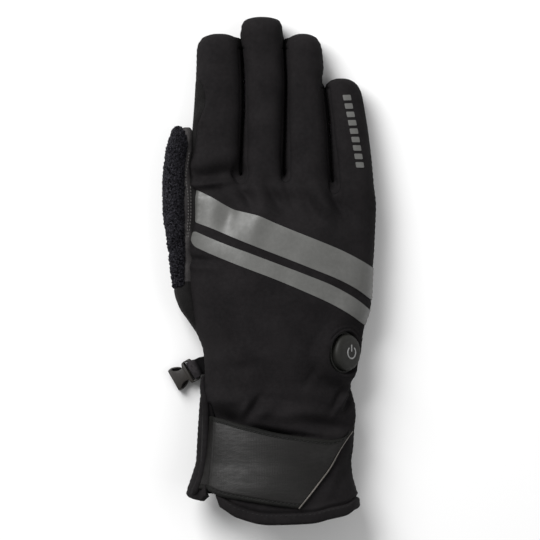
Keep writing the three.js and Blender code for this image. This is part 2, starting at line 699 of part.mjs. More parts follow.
function stripe(start, drop, width) {
  const rows = STRIPE_LINE.map((row, i) => (i === 0 ? { ...row, across: start } : row));
  const edge = (below) =>
    rows.map(({ across, up }) => [(across * HAND_WIDTH) / 2, up * HAND_LENGTH - below]);
  const outline = [...edge(drop), ...edge(drop + width).reverse()];
  return stripeFilm.intersect(prism(outline, SEAM_HEIGHT + GAP, farUp));
}
const wideStripe = stripe(STRIPE_LINE[0].across, 0, WIDE_STRIPE);
const narrowStripe = stripe(NARROW_START, WIDE_STRIPE + STRIPE_SPACE, NARROW_STRIPE);

// The heat button and its rim, on the little finger's side of the wrist
const buttonY = BUTTON_ALONG * HAND_LENGTH;
const buttonX = (BUTTON_ACROSS * HAND_WIDTH) / 2;
const buttonZ = crestHeight(handSection(BUTTON_ALONG), buttonX, GAP);

function buttonDisc(radius, low, high) {
  const geometry = new THREE.CylinderGeometry(radius, radius, high - low, BUTTON_SIDES);
  geometry.rotateX(Math.PI / 2);
  geometry.translate(0, 0, (low + high) / 2);
  geometry.rotateY(degrees(BUTTON_TILT));
  geometry.translate(buttonX, buttonY, buttonZ);
  return solidOfGeometry(geometry);
}
const buttonRadius = BUTTON_DIAMETER / 2;
const heatButton = buttonDisc(buttonRadius, -BUTTON_HEIGHT, BUTTON_HEIGHT).subtract(handSeat);
const buttonRim = buttonDisc(buttonRadius + GAP + BUTTON_RIM, -2 * BUTTON_HEIGHT, BUTTON_HEIGHT / 3)
  .subtract(buttonDisc(buttonRadius + GAP, -3 * BUTTON_HEIGHT, BUTTON_HEIGHT))
  .subtract(handSeat);

// The small side-release buckle, socket half, lying on the table beside the wrist.
// Its own frame: +X from the mouth to the webbing, z from 0 to its thickness.

function buckleBody() {
  const half = BUCKLE_WIDTH / 2;
  const waist = 0.72 * half;
  const neck = 0.62 * BUCKLE_LENGTH;
  const mouth = [
    [0, -half + 0.6],
    [0.6, -half],
    [0.16 * BUCKLE_LENGTH, -half],
    [0.3 * BUCKLE_LENGTH, -0.84 * half],
    [0.42 * BUCKLE_LENGTH, -waist],
    [neck, -waist],
    [neck, waist],
    [0.42 * BUCKLE_LENGTH, waist],
    [0.3 * BUCKLE_LENGTH, 0.84 * half],
    [0.16 * BUCKLE_LENGTH, half],
    [0.6, half],
    [0, half - 0.6],
  ];
  const plate = [
    [0.5 * BUCKLE_LENGTH, -waist],
    [0.6 * BUCKLE_LENGTH, -half],
    [BUCKLE_LENGTH - 0.8, -half],
    [BUCKLE_LENGTH, -half + 0.8],
    [BUCKLE_LENGTH, half - 0.8],
    [BUCKLE_LENGTH - 0.8, half],
    [0.6 * BUCKLE_LENGTH, half],
    [0.5 * BUCKLE_LENGTH, waist],
  ];
  const plateLow = (BUCKLE_THICKNESS - PLATE_THICKNESS) / 2;
  const slotEnd = BUCKLE_LENGTH - BAR_WIDTH;
  const slotHalf = WEBBING_WIDTH / 2 + 2 * GAP;
  const slot = [
    [slotEnd - SLOT_WIDTH, -slotHalf],
    [slotEnd, -slotHalf],
    [slotEnd, slotHalf],
    [slotEnd - SLOT_WIDTH, slotHalf],
  ];
  const socketHalf = half - BUCKLE_WALL;
  const socket = [
    [-1, -socketHalf],
    [SOCKET_DEPTH, -socketHalf],
    [SOCKET_DEPTH, socketHalf],
    [-1, socketHalf],
  ];
  return prism(mouth, 0, BUCKLE_THICKNESS)
    .add(prism(plate, plateLow, plateLow + PLATE_THICKNESS))
    .subtract(prism(slot, -1, BUCKLE_THICKNESS + 1))
    .subtract(prism(socket, BUCKLE_WALL, BUCKLE_THICKNESS - BUCKLE_WALL));
}

// The webbing loop in the buckle's frame: a folded band round the bar, whose two ends rise
// to the side seam of the wrist.

function webbingLoop() {
  const barMiddle = BUCKLE_LENGTH - BAR_WIDTH / 2;
  const middleZ = BUCKLE_THICKNESS / 2;
  const insideX = BAR_WIDTH / 2 + GAP;
  const insideZ = PLATE_THICKNESS / 2 + GAP;
  const band = WEBBING_THICKNESS;
  const end = barMiddle + WEBBING_RUN;
  const lift = middleZ + WEBBING_LIFT;
  const profile = [
    [end, lift - band - GAP / 2],
    [end, lift - GAP / 2 - 0.02],
    [barMiddle + insideX + 0.6, middleZ - insideZ + 0.2],
    [barMiddle - insideX + 0.15, middleZ - insideZ],
    [barMiddle - insideX, middleZ - insideZ + 0.15],
    [barMiddle - insideX, middleZ + insideZ - 0.15],
    [barMiddle - insideX + 0.15, middleZ + insideZ],
    [barMiddle + insideX, middleZ + insideZ],
    [end, lift + GAP / 2],
    [end, lift + band + GAP / 2],
    [barMiddle + insideX, middleZ + insideZ + band],
    [barMiddle - insideX, middleZ + insideZ + band],
    [barMiddle - insideX - band, middleZ + insideZ],
    [barMiddle - insideX - band, middleZ - insideZ],
    [barMiddle - insideX, middleZ - insideZ - band],
    [barMiddle + insideX + 0.6, middleZ - insideZ - band + 0.2],
  ];
  const shape = new THREE.Shape(profile.map(([x, z]) => new THREE.Vector2(x, z)));
  const geometry = new THREE.ExtrudeGeometry(shape, { depth: WEBBING_WIDTH, bevelEnabled: false });
  geometry.translate(0, 0, -WEBBING_WIDTH / 2);
  geometry.rotateX(Math.PI / 2);
  return solidOfGeometry(geometry);
}

const anchorY = WEBBING_ALONG * HAND_LENGTH;
const anchorX = handSection(WEBBING_ALONG).left;
const buckleSpan = BUCKLE_LENGTH - BAR_WIDTH / 2 + WEBBING_RUN - 1.5;

function besideWrist(solid) {
  const turn = degrees(BUCKLE_TURN);
  const placed = solid
    .rotate([0, 0, BUCKLE_TURN])
    .translate([anchorX - buckleSpan * Math.cos(turn), anchorY - buckleSpan * Math.sin(turn), 0]);
  return placed.subtract(handSeat);
}
const buckle = besideWrist(buckleBody());
const buckleWebbing = besideWrist(webbingLoop());

// Materials, with the colours of the real cloth, leather, film and plastic
const finish = (color, roughness, metalness = 0) =>
  new THREE.MeshStandardMaterial({ color, roughness, metalness });
const softshell = finish(0x232122, 0.85);
const leather = finish(0x2c2b2a, 0.6);
const terry = finish(0x1f1f24, 1);
const reflective = finish(0x70706d, 0.45, 0.2);
const strapLeather = finish(0x3d3a39, 0.6);
const rubber = finish(0x363532, 0.7);
const plastic = finish(0x2e2926, 0.5);
const webbing = finish(0x1a1718, 0.95);

// The glove, as an assembly of its pieces
const glove = new THREE.Group();

function piece(name, solid, material) {
  const { numProp, vertProperties, triVerts } = solid.getMesh();
  const position = new Float32Array((vertProperties.length / numProp) * 3);
  for (let i = 0; i < position.length / 3; i++) {
    position.set(vertProperties.subarray(i * numProp, i * numProp + 3), i * 3);
  }
  const geometry = new THREE.BufferGeometry();
  geometry.setAttribute("position", new THREE.BufferAttribute(position, 3));
  geometry.setIndex(new THREE.BufferAttribute(triVerts, 1));
  geometry.computeVertexNormals();
  const mesh = new THREE.Mesh(geometry, material);
  mesh.name = name;
  glove.add(mesh);
}

piece("back_panel", backPanel, softshell);
piece("palm_panel", palmPanel, leather);
FORKS.forEach(({ name }, i) => piece(name, fourchettes[i], softshell));
piece("thumb_terry", thumbTerry, terry);
piece("thumb_leather", thumbLeather, leather);
piece("cuff", cuff, softshell);
piece("cuff_hem", hem, softshell);
piece("slit_binding", slitBinding, softshell);
piece("wrist_strap", wristStrap, strapLeather);
piece("wide_stripe", wideStripe, reflective);
piece("narrow_stripe", narrowStripe, reflective);
piece("button_rim", buttonRim, rubber);
piece("heat_button", heatButton, rubber);
piece("buckle", buckle, plastic);
piece("buckle_webbing", buckleWebbing, webbing);

// The origin goes to the bottom centre of the whole glove
const bounds = new THREE.Box3().setFromObject(glove);
const centre = bounds.getCenter(new THREE.Vector3());
glove.position.set(-centre.x, -centre.y, -bounds.min.z);

export default glove;
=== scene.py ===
import math

import bpy
import numpy as np
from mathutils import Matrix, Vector
from mathutils.bvhtree import BVHTree


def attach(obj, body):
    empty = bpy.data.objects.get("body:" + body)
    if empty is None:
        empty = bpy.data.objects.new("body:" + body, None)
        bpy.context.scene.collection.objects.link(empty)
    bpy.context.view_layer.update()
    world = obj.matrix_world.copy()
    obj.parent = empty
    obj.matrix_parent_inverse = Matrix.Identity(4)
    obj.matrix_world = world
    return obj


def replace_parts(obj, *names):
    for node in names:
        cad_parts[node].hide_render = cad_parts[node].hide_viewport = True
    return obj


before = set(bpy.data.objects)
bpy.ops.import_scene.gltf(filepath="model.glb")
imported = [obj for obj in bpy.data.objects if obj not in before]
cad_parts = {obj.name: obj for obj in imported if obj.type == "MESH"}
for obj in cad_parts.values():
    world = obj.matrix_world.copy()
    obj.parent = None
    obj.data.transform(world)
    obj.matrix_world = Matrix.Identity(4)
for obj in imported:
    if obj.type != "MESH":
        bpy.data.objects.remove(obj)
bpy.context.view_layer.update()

# The studio. A long lens looks straight down on the glove, as in the photograph. The floor is plain
# and pale, and the light comes from two broad soft boxes and an even sky.
scene = bpy.context.scene
scene.view_settings.view_transform = "Standard"

view_width = 0.3024
lens_distance = 3.2
sensor_width = 36
glove_middle = (0.0001, 0.0003, 0.015)
camera = bpy.data.objects.new("camera", bpy.data.cameras.new("camera"))
camera.data.sensor_width = sensor_width
camera.data.lens = sensor_width * lens_distance / view_width
camera.data.clip_end = 30
camera.location = (*glove_middle[:2], lens_distance + glove_middle[2])
scene.collection.objects.link(camera)
scene.camera = camera

floor_mesh = bpy.data.meshes.new("floor")
reach = 12.0
floor_mesh.from_pydata(
    [(-reach, -reach, 0), (reach, -reach, 0), (reach, reach, 0), (-reach, reach, 0)], [], [(0, 1, 2, 3)]
)
floor = bpy.data.objects.new("floor", floor_mesh)
scene.collection.objects.link(floor)
floor_paint = bpy.data.materials.new("floor_paint")
floor_paint.use_nodes = True
floor_shader = floor_paint.node_tree.nodes["Principled BSDF"]
floor_shader.inputs["Base Color"].default_value = (0.86, 0.86, 0.86, 1)
floor_shader.inputs["Roughness"].default_value = 0.9
floor_shader.inputs["Specular IOR Level"].default_value = 0.1
floor_mesh.materials.append(floor_paint)

sky = bpy.data.worlds.new("sky")
sky.use_nodes = True
sky.node_tree.nodes["Background"].inputs["Color"].default_value = (1, 1, 1, 1)
sky.node_tree.nodes["Background"].inputs["Strength"].default_value = 0.34
scene.world = sky


def soft_box(name, place, size, power):
    """A square lamp that faces the glove."""
    lamp = bpy.data.objects.new(name, bpy.data.lights.new(name, "AREA"))
    lamp.data.shape = "SQUARE"
    lamp.data.size = size
    lamp.data.energy = power
    lamp.location = place
    lamp.rotation_euler = (-Vector(place)).to_track_quat("-Z", "Y").to_euler()
    lamp.visible_camera = False
    scene.collection.objects.link(lamp)


soft_box("key_light", (-0.85, 1.05, 1.25), 1.2, 46)
soft_box("fill_light", (1.2, -0.3, 1.5), 1.2, 7)


# The hand. Softshell back, leather palm and the strips between the fingers are sewn over one padded
# form, so one skin is grown round that form and then cut along the seams. Sizes are in millimetres
# from the wrist crease, with the fingers along y.
to_frame = np.array([5.99, -65.819, 0.0])
wall = 1.3
belt_high = 15
fork_start = 118.0
# How much lower a finger's widest part lies at its tip
belt_fall = 4.5

# The hand and cuff's section on its way from the hem to the knuckles.
# y, left, right, crest, belt, sole, square
sections = np.array([
    [-84.0, -54.0, 43.9, 44.0, 17.6, -1.3, 2.1],
    [-60.5, -52.8, 43.0, 43.1, 17.6, -1.3, 2.1],
    [-47.3, -49.0, 40.0, 39.6, 16.7, -1.8, 2.1],
    [-41.0, -47.3, 39.6, 37.4, 15.8, -1.8, 2.1],
    [-33.4, -46.8, 40.6, 36.1, 15.8, -1.8, 2.1],
    [-10.1, -45.6, 41.7, 33.4, 15.0, -1.8, 2.1],
    [-3.2, -44.6, 40.4, 33.2, 15.0, -1.8, 2.2],
    [1.0, -42.6, 39.2, 33.0, 14.8, -1.8, 2.25],
    [9.4, -42.4, 40.8, 34.4, 14.8, -2.2, 2.2],
    [20.1, -43.2, 44.5, 36.3, 14.8, -2.6, 2.15],
    [34.2, -48.2, 46.9, 37.0, 14.8, -2.6, 2.15],
    [47.2, -51.3, 50.7, 37.0, 14.8, -2.6, 2.2],
    [63.7, -53.0, 51.5, 35.9, 14.8, -2.2, 2.3],
    [82.6, -53.0, 52.7, 33.7, 14.8, -1.9, 2.4],
    [101.5, -52.7, 53.3, 30.7, 14.8, -1.1, 2.5],
    [112.1, -52.5, 52.5, 28.1, 14.8, 0.7, 2.5],
    [118.0, -51.7, 51.7, 25.5, 14.8, 3.0, 2.5],
    [130.0, -51.0, 51.0, 22.0, 14.8, 5.0, 2.5],
])

# root across, length, width, taper, lean, bow, fork
fingers = np.array([
    [-37.2, 80.5, 29.4, 0.83, 0.1, 0.041, 118.0],
    [-9.7, 90.0, 23.2, 1.1, -0.034, 0.06, 118.0],
    [15.8, 80.5, 25.4, 0.76, -0.135, 0.016, 118.0],
    [40.8, 62.0, 22.2, 0.86, -0.315, 0.0585, 111.5],
])

# The lines where neighbouring fingers press together: y, then x
valleys = [
    np.array([[100, -21.5], [118, -21.6], [126, -22.1], [136, -21.4], [146, -20.9], [156, -20.1],
              [171, -20.1], [186, -21.1], [196, -22.4], [215, -24.0]]),
    np.array([[100, 2.6], [119, 2.4], [128, 2.1], [141, 2.5], [156, 2.9], [171, 3.4], [186, 2.5],
              [196, 1.9], [215, 4.0]]),
    np.array([[95, 30.4], [113, 29.7], [126, 28.8], [136, 28.3], [146, 27.9], [156, 26.9],
              [166, 25.4], [173, 24.4], [177, 26.0], [188, 36.0], [215, 40.0]]),
]

# Dents, folds and ridges of the cloth: x, y, turn in degrees, half length, half width, height
folds = np.array([
    # creases and roll at the root of the index finger
    [-37.0, 119.4, 8, 15, 3.9, -4.0],
    [-39.5, 114.6, 7, 12, 1.9, 2.3],
    [-38.5, 110.6, 5, 13, 2.4, -1.6],
    [-47.5, 120.0, -30, 5, 2.6, -1.4],
    [-35.0, 129.5, 10, 13, 4.4, 1.3],
    # pits where the slits between the fingers end
    [-23.0, 121.4, 90, 4.5, 2.3, -2.8],
    [2.1, 121.0, 90, 4.2, 1.9, -2.2],
    [29.6, 114.6, 90, 4.2, 1.9, -2.0],
    # hollow and swell under the stripes' left half
    [-29.5, 96.0, 78, 11, 5.4, -2.8],
    [-13.5, 93.0, 74, 12, 5.6, 1.2],
    [-50.0, 120.5, 88, 7, 3.0, 1.9],
    [-12.0, 119.0, -8, 9, 5.0, -1.0],
    [12.0, 117.0, 4, 9, 5.0, -0.8],
    # pinched seam beside the index finger
    [-46.5, 152.0, 72, 10, 2.6, 0.9],
    [-43.6, 160.0, 66, 9, 2.2, -1.0],
    # below the forks
    [4.0, 117.0, -12, 30, 7.0, 2.0],
    [2.0, 101.5, -20, 30, 6.0, -2.8],
    [-19.2, 108.5, -66, 8, 3.2, -4.4],
    [-27.0, 108.0, -60, 7, 3.0, 1.4],
    [-11.5, 108.0, -62, 8, 3.8, 2.2],
    [-3.0, 108.0, -60, 9, 3.4, -3.4],
    [5.6, 108.0, -64, 9, 3.2, -3.2],
    [14.1, 106.0, -58, 11, 3.8, -3.4],
    [24.0, 102.0, -58, 9, 3.8, 2.8],
    [31.5, 104.0, -58, 9, 3.0, -3.6],
    [39.3, 99.3, -54, 12, 4.0, -3.4],
    [45.0, 90.0, -64, 10, 4.0, 1.8],
    # under the left end of the stripes
    [-45.5, 71.6, -6, 8, 2.2, -2.2],
    [-44.0, 67.6, -4, 9, 2.4, 1.2],
    # wide quiet dents over the back
    [-27.0, 26.5, 8, 13, 7.0, -0.9],
    [-8.0, 32.0, 25, 12, 6.0, 0.6],
    [8.0, 23.0, 60, 9, 4.0, -0.6],
    [-5.0, 16.0, -20, 12, 4.2, 0.6],
    [18.0, 8.0, 58, 9, 2.6, -0.8],
    [22.0, 9.5, 58, 9, 2.4, 0.5],
    [-20.0, 12.0, 12, 14, 3.6, -0.7],
    [-33.0, 45.0, -75, 14, 5.0, 0.6],
    [26.0, 47.0, -20, 16, 5.0, 0.5],
    [-12.0, 52.0, 4, 16, 4.5, -0.45],
    # gathers over the top edge of the strap
    [-29.5, -18.0, -16, 10, 5.2, -7.4],
    [-28.0, -6.5, 6, 12, 3.4, 1.5],
    [-19.4, -10.8, 62, 6, 2.2, 1.8],
    [-15.0, -10.2, 58, 6.5, 2.2, -2.4],
    [-9.2, -13.2, 42, 7, 3.2, 2.2],
    [-1.0, -14.6, -10, 14, 4.2, 2.6],
    [2.0, -7.0, -10, 14, 3.4, -1.2],
    [-4.8, -24.3, -12, 12, 1.9, -7.0],
    [12.0, -26.0, -8, 12, 1.6, -3.0],
    [19.0, -19.4, -8, 11, 3.4, -3.0],
    [15.0, -12.5, -12, 10, 3.2, 1.2],
    [29.0, -21.0, -10, 10, 3.4, -2.6],
    [28.0, -8.0, -30, 9, 3.0, 1.0],
    [35.6, -5.0, 60, 8, 1.6, 2.6],
    [32.2, -5.6, 60, 7, 2.0, -1.6],
    [39.0, -6.8, 62, 7, 1.8, -2.4],
    [40.5, -1.0, 14, 6, 1.8, -2.6],
    [41.5, -16.0, 84, 7, 3.0, 1.4],
    # the wide panel beside the slit
    [-45.0, -38.0, 84, 14, 2.0, -0.9],
    [-48.0, -56.0, 70, 8, 2.4, 0.9],
    # below the strap
    [30.0, -50.0, 66, 13, 3.2, 0.9],
    [36.0, -46.0, 70, 12, 2.6, -1.0],
    [22.0, -68.0, 8, 12, 2.6, 0.6],
])


def follow(places, values, at):
    """A smooth line through the values, which never overshoots them."""
    step = np.diff(places)
    slope = np.diff(values) / step
    pair = slope[:-1] * slope[1:]
    total = slope[:-1] + slope[1:]
    turn = np.empty(len(places))
    turn[1:-1] = np.where(pair > 0, 2 * pair / np.where(total == 0, 1, total), 0)
    turn[0], turn[-1] = slope[0], slope[-1]
    i = np.clip(np.searchsorted(places, at) - 1, 0, len(step) - 1)
    t = np.clip((at - places[i]) / step[i], 0, 1)
    h = step[i]
    rest = 1 - t
    return (
        (1 + 2 * t) * rest * rest * values[i]
        + t * rest * rest * h * turn[i]
        + t * t * (3 - 2 * t) * values[i + 1]
        - t * t * rest * h * turn[i + 1]
    )


def ease(share):
    """0 to 1 with a soft start and end."""
    share = np.clip(share, 0, 1)
    return share * share * (3 - 2 * share)


def both(a, b, round_by):
    """The space inside either form, with a fillet."""
    near = np.clip(1 - np.abs(a - b) / round_by, 0, 1)
    return np.minimum(a, b) - round_by * near * near / 4


def common(a, b, round_by):
    """The space inside both forms, with a fillet."""
    return -both(-a, -b, round_by)


def oval(x, z, middle, belt, half, rise, square, cap=0.0):
    """About how far a point lies outside a squarish tube, which cap rounds off at its end."""
    u = np.abs(x - middle) / half
    w = np.abs(z - belt) / rise
    r = np.maximum((u**square + w**square) ** (1 / square), 1e-6)
    steep = np.sqrt((u ** (square - 1) / half) ** 2 + (w ** (square - 1) / rise) ** 2) * r ** (1 - square)
    if np.ndim(cap):
        q = (r**2.7 + cap**2.7) ** (1 / 2.7)
        return (q - 1) / np.maximum(steep, 0.055)
    return (r - 1) / np.maximum(steep, 1e-4)


def section_at(y):
    """Left, right, crest, belt, sole and squareness of the section at y."""
    return [follow(sections[:, 0], sections[:, column], y) for column in range(1, 7)]


def knuckles(x):
    """Where the hand ends, which is earlier towards the little finger."""
    return fork_start - 6.5 * ease((x - 15.8) / 25.0)


def hand_form(x, y, z):
    """The padded hand and cuff. Like every form here it is negative inside, in millimetres."""
    left, right, crest, belt, sole, square = section_at(y)
    rise = np.where(z > belt, crest - belt, belt - sole)
    tube = oval(x, z, (left + right) / 2, belt, (right - left) / 2, rise, square)
    return common(tube, y - knuckles(x), 9.0)


def finger_plan(number, y):
    """The middle and half width of a finger in plan, and how far up it each y is."""
    root, length, width, taper, lean, bow, fork = fingers[number]
    up = np.clip((y - fork) / length, 0, 1)
    middle = root + width * (lean * up + 4 * bow * up * (1 - up))
    return middle, width / 2 * (1 + (taper - 1) * up), up


# A finger's half height at its fork, squareness, length of its rounded tip and root in the hand
finger_rise, finger_square, tip_long, root_depth = 11.25, 2.15, 11.5, 17


def finger_form(number, x, y, z):
    """A finger from its root inside the hand to its tip, cut off where it presses on the next."""
    length, fork = fingers[number, 1], fingers[number, 6]
    middle, half, up = finger_plan(number, y)
    tuck = ease((fork - y) / length / 0.16)
    belt = belt_high - belt_fall * up
    rise = finger_rise * (1 - 0.05 * up) - 2.0 * tuck
    cap = np.clip((y - (fork + length - tip_long)) / tip_long, 0, None)
    form = oval(x, z, middle, belt, half - 1.2 * tuck + 0.45, rise, finger_square, cap)
    form = common(form, fork - root_depth - y, 6.0)
    slack = 0.22 + 2.7 * np.clip((z - belt) / rise, 0, 1) ** 2
    if number > 0:
        form = common(form, follow(*valleys[number - 1].T, y) + slack - x, 2.4)
    if number < 3:
        form = common(form, x - follow(*valleys[number].T, y) + slack, 4.4)
    return form


def glove_form(x, y, z):
    """Hand and fingers together, flattened by the table."""
    whole = finger_form(0, x, y, z)
    for number in (1, 2, 3):
        whole = np.minimum(whole, finger_form(number, x, y, z))
    whole = both(hand_form(x, y, z), whole, 3.6)
    return common(whole, -z, 3.0)


def slope_of(form, points, step=0.04):
    """The way in which the form's value grows fastest, at each point."""
    slope = np.empty_like(points)
    for axis in range(3):
        ahead, behind = points.copy(), points.copy()
        ahead[:, axis] += step
        behind[:, axis] -= step
        slope[:, axis] = (form(*ahead.T) - form(*behind.T)) / (2 * step)
    return slope


def spread(x, y):
    """Moves the fingers apart, so that the skin finds the slits between them."""
    moved = x.copy()
    for line, fork in zip(valleys, (118.0, 117.0, 111.0)):
        open_by = 4.4 * ease((y - fork + 3) / 12)
        moved = moved + open_by * 0.5 * (1 + np.tanh((x - follow(*line.T, y)) / 0.35))
    return moved


def grow_skin(form, low, high, step):
    """Quads round the form, on a grid whose fingers are spread apart."""
    axes = [np.arange(low[a], high[a], step) for a in range(3)]
    fine = np.arange(low[0] - 4, high[0], 0.04)
    across = np.empty((len(axes[0]), len(axes[1])))
    for row, y in enumerate(axes[1]):
        across[:, row] = np.interp(axes[0], spread(fine, np.full_like(fine, y)), fine)
    y3 = axes[1][None, :, None]
    z3 = axes[2][None, None, :]
    whole = np.zeros(across.shape + (len(axes[2]),))
    value = form(across[:, :, None] + whole, y3 + whole, z3 + whole)
    cells = tuple(n - 1 for n in value.shape)
    total = np.zeros(cells + (3,))
    count = np.zeros(cells)
    crossings = []
    for axis in range(3):
        first = [slice(None)] * 3
        second = [slice(None)] * 3
        first[axis] = slice(None, -1)
        second[axis] = slice(1, None)
        a, b = value[tuple(first)], value[tuple(second)]
        crossed = (a < 0) != (b < 0)
        share = np.where(crossed, a / np.where(crossed, a - b, 1), 0)
        crossings.append((crossed, a < 0))
        others = [n for n in range(3) if n != axis]
        for i in (0, 1):
            for j in (0, 1):
                window = [slice(None)] * 3
                window[others[0]] = slice(i, value.shape[others[0]] - 1 + i)
                window[others[1]] = slice(j, value.shape[others[1]] - 1 + j)
                hit = crossed[tuple(window)]
                total[..., axis] += share[tuple(window)]
                total[..., others[0]] += hit * i
                total[..., others[1]] += hit * j
                count += hit
    used = count > 0
    number = np.full(cells, -1)
    number[used] = np.arange(used.sum())
    place = np.argwhere(used) + total[used] / count[used][:, None]
    faces = []
    for axis, (crossed, starts_inside) in enumerate(crossings):
        others = [n for n in range(3) if n != axis]
        at = np.argwhere(crossed)
        keep = np.all([(at[:, o] > 0) & (at[:, o] < cells[o]) for o in others], axis=0)
        at = at[keep]
        corners = []
        for i, j in ((1, 1), (0, 1), (0, 0), (1, 0)):
            cell = at.copy()
            cell[:, others[0]] -= i
            cell[:, others[1]] -= j
            corners.append(number[tuple(cell.T)])
        quad = np.stack(corners, 1)
        flip = starts_inside[tuple(at.T)]
        if axis == 1:
            flip = ~flip
        faces.append(np.where(flip[:, None], quad, quad[:, ::-1]))
    y = low[1] + place[:, 1] * step
    shifted = low[0] + place[:, 0] * step
    x = np.empty_like(y)
    order = np.argsort(y)
    for rows in np.array_split(order, 700):
        middle = y[rows].mean()
        x[rows] = np.interp(shifted[rows], spread(fine, np.full_like(fine, middle)), fine)
    return np.stack([x, y, low[2] + place[:, 2] * step], 1), np.concatenate(faces)


def fold_height(table, x, y):
    """The height of all the folds in a table at a place in plan."""
    lift = np.zeros_like(x)
    for at_x, at_y, turn, length, width, height in table:
        c, s = math.cos(math.radians(turn)), math.sin(math.radians(turn))
        dx, dy = x - at_x, y - at_y
        along = (dx * c + dy * s) / length
        aside = (dy * c - dx * s) / width
        lift += height * np.exp(-(along**2) - aside**2)
    return lift


# The corners of the space that is searched for the skin, and the size of its cells
skin_low, skin_high = (-58.0, -82.0, -1.4), (70.0, 213.0, 46.0)
skin_step = 0.95
skin_points, skin_quads = grow_skin(glove_form, skin_low, skin_high, skin_step)
# A few steps down the form's slope bring every point onto it
for _ in range(4):
    value = glove_form(*skin_points.T)
    slope = slope_of(glove_form, skin_points)
    move = value / np.maximum((slope**2).sum(1), 0.05)
    skin_points -= slope * np.clip(move, -0.6, 0.6)[:, None]
slope = slope_of(glove_form, skin_points)
skin_normals = slope / np.linalg.norm(slope, axis=1)[:, None]
skin_faces = np.concatenate([skin_quads[:, [0, 1, 2]], skin_quads[:, [0, 2, 3]]])
# From here on a skin is rows of a point and its normal, and a part is such rows and their faces
skin = np.hstack([skin_points, skin_normals])


def cut(points, faces, keep):
    """Splits the faces where keep changes sign, and gives those on its positive side."""
    state = keep[faces] > 0
    inside = state.sum(1)
    mixed = (inside == 1) | (inside == 2)
    corners, state = faces[mixed], state[mixed]
    single = inside[mixed] == 1
    odd = np.where(single[:, None], state, ~state).argmax(1)
    a, b, c = np.take_along_axis(corners, (odd[:, None] + np.arange(3)) % 3, 1).T
    pairs = np.sort(np.concatenate([np.stack([a, b], 1), np.stack([a, c], 1)]), 1)
    edges, where = np.unique(pairs, axis=0, return_inverse=True)
    where = where.ravel()
    share = keep[edges[:, 0]] / (keep[edges[:, 0]] - keep[edges[:, 1]])
    fresh = points[edges[:, 0]] + share[:, None] * (points[edges[:, 1]] - points[edges[:, 0]])
    ab = len(points) + where[: len(a)]
    ac = len(points) + where[len(a):]
    tip = np.stack([a, ab, ac], 1)[single]
    low = np.stack([ab, b, c], 1)[~single]
    high = np.stack([ab, c, ac], 1)[~single]
    kept = np.concatenate([faces[inside == 3], tip, low, high])
    points = np.vstack([points, fresh])
    used, kept = np.unique(kept, return_inverse=True)
    return points[used], kept.reshape(-1, 3)


def score(points, faces, line):
    """Adds a row of points along a line, so that a groove there has somewhere to bend."""
    one = cut(points, faces, line)
    other = cut(points, faces, -line)
    return join_skins(one, other)


def join_skins(*skins):
    """One skin from several, sewn together where their points meet."""
    points = np.vstack([p for p, _ in skins])
    starts = np.cumsum([0] + [len(p) for p, _ in skins])
    faces = np.concatenate([f + start for (_, f), start in zip(skins, starts)])
    key = np.round(points[:, :3] * 2000).astype(np.int64)
    _, first, where = np.unique(key, axis=0, return_index=True, return_inverse=True)
    faces = where.ravel()[faces]
    flat = (faces[:, 0] == faces[:, 1]) | (faces[:, 1] == faces[:, 2]) | (faces[:, 0] == faces[:, 2])
    return points[first], faces[~flat]


def hand_side(y):
    """The thumb side of the hand and of the index finger, in plan."""
    middle, half, _ = finger_plan(0, y)
    hand_left = follow(sections[:, 0], sections[:, 1], y)
    return np.where(y < fork_start, hand_left, middle - half - 0.35)


# How far the palm leather wraps onto the back beside the thumb: y, then millimetres
wrap = np.array([
    [60, -2.5], [68, -1.6], [76, -0.2], [81, 1.0], [86, 2.8], [93.5, 4.4], [101.4, 4.7], [108.5, 4.8],
    [112, 3.4], [115, 1.6], [120, 0.8], [128, 1.6], [138, 2.1], [146.5, 2.2], [151, 3.6], [159, 5.3],
    [165, 5.0], [169, 3.6], [173, 0.5], [176, -2.5],
])


def above_belt(y, z):
    """The height above the widest part of the hand or finger."""
    return z - belt_high + belt_fall * np.clip((y - fork_start) / 90, 0, 1)


def back_line(x, y, z):
    """Positive on the softshell back, negative on the leather palm."""
    return np.minimum(above_belt(y, z), x - hand_side(y) - follow(*wrap.T, y))


def fork_line(number, x, y, z):
    """Positive on the strip between two fingers, which shows as a narrow U round the fork."""
    fork = (118.0, 117.5, 111.5)[number]
    end = (190.0, 190.0, 168.0)[number]
    line = follow(*valleys[number].T, y)
    side = np.minimum(4.5 - np.abs(above_belt(y, z)), 9 - np.abs(x - line))
    side = np.minimum(side, np.minimum(y - fork + 3, end - y))
    along = np.clip(y, fork + 1.2, fork + 44)
    slim = ease((y - fork - 4) / 40)
    loop = 2.6 - 1.5 * slim - np.hypot(x - line - 0.9 * (1 - slim), (y - along) * 0.9)
    return np.maximum(side, np.where(z > 12, loop, -5))


def groove(distance, depth, width):
    """A pressed-in line, or a ridge where its depth is taken off."""
    return -depth * np.exp(-((distance / width) ** 2))


button_at = np.array([37.4, 20.06, 27.4])
lean = math.radians(48)
button_axis = np.array([math.sin(lean), 0, math.cos(lean)])
# How the cloth is drawn up round the button: millimetres from its axis, then height on that axis
button_seat = np.array([
    [0, -4.4], [10.6, -4.4], [11.1, -3.4], [11.6, -0.9], [12.0, -0.1], [12.7, 0.0], [13.5, -0.7],
    [14.1, -0.35], [14.9, -0.3], [15.7, -0.75], [16.3, -0.6], [24.0, -3.0],
])


def from_button(points):
    """How far points lie from the button's axis, and how far along it."""
    away = points[:, :3] - button_at
    height = away @ button_axis
    return np.sqrt(np.maximum((away**2).sum(1) - height**2, 0)), height


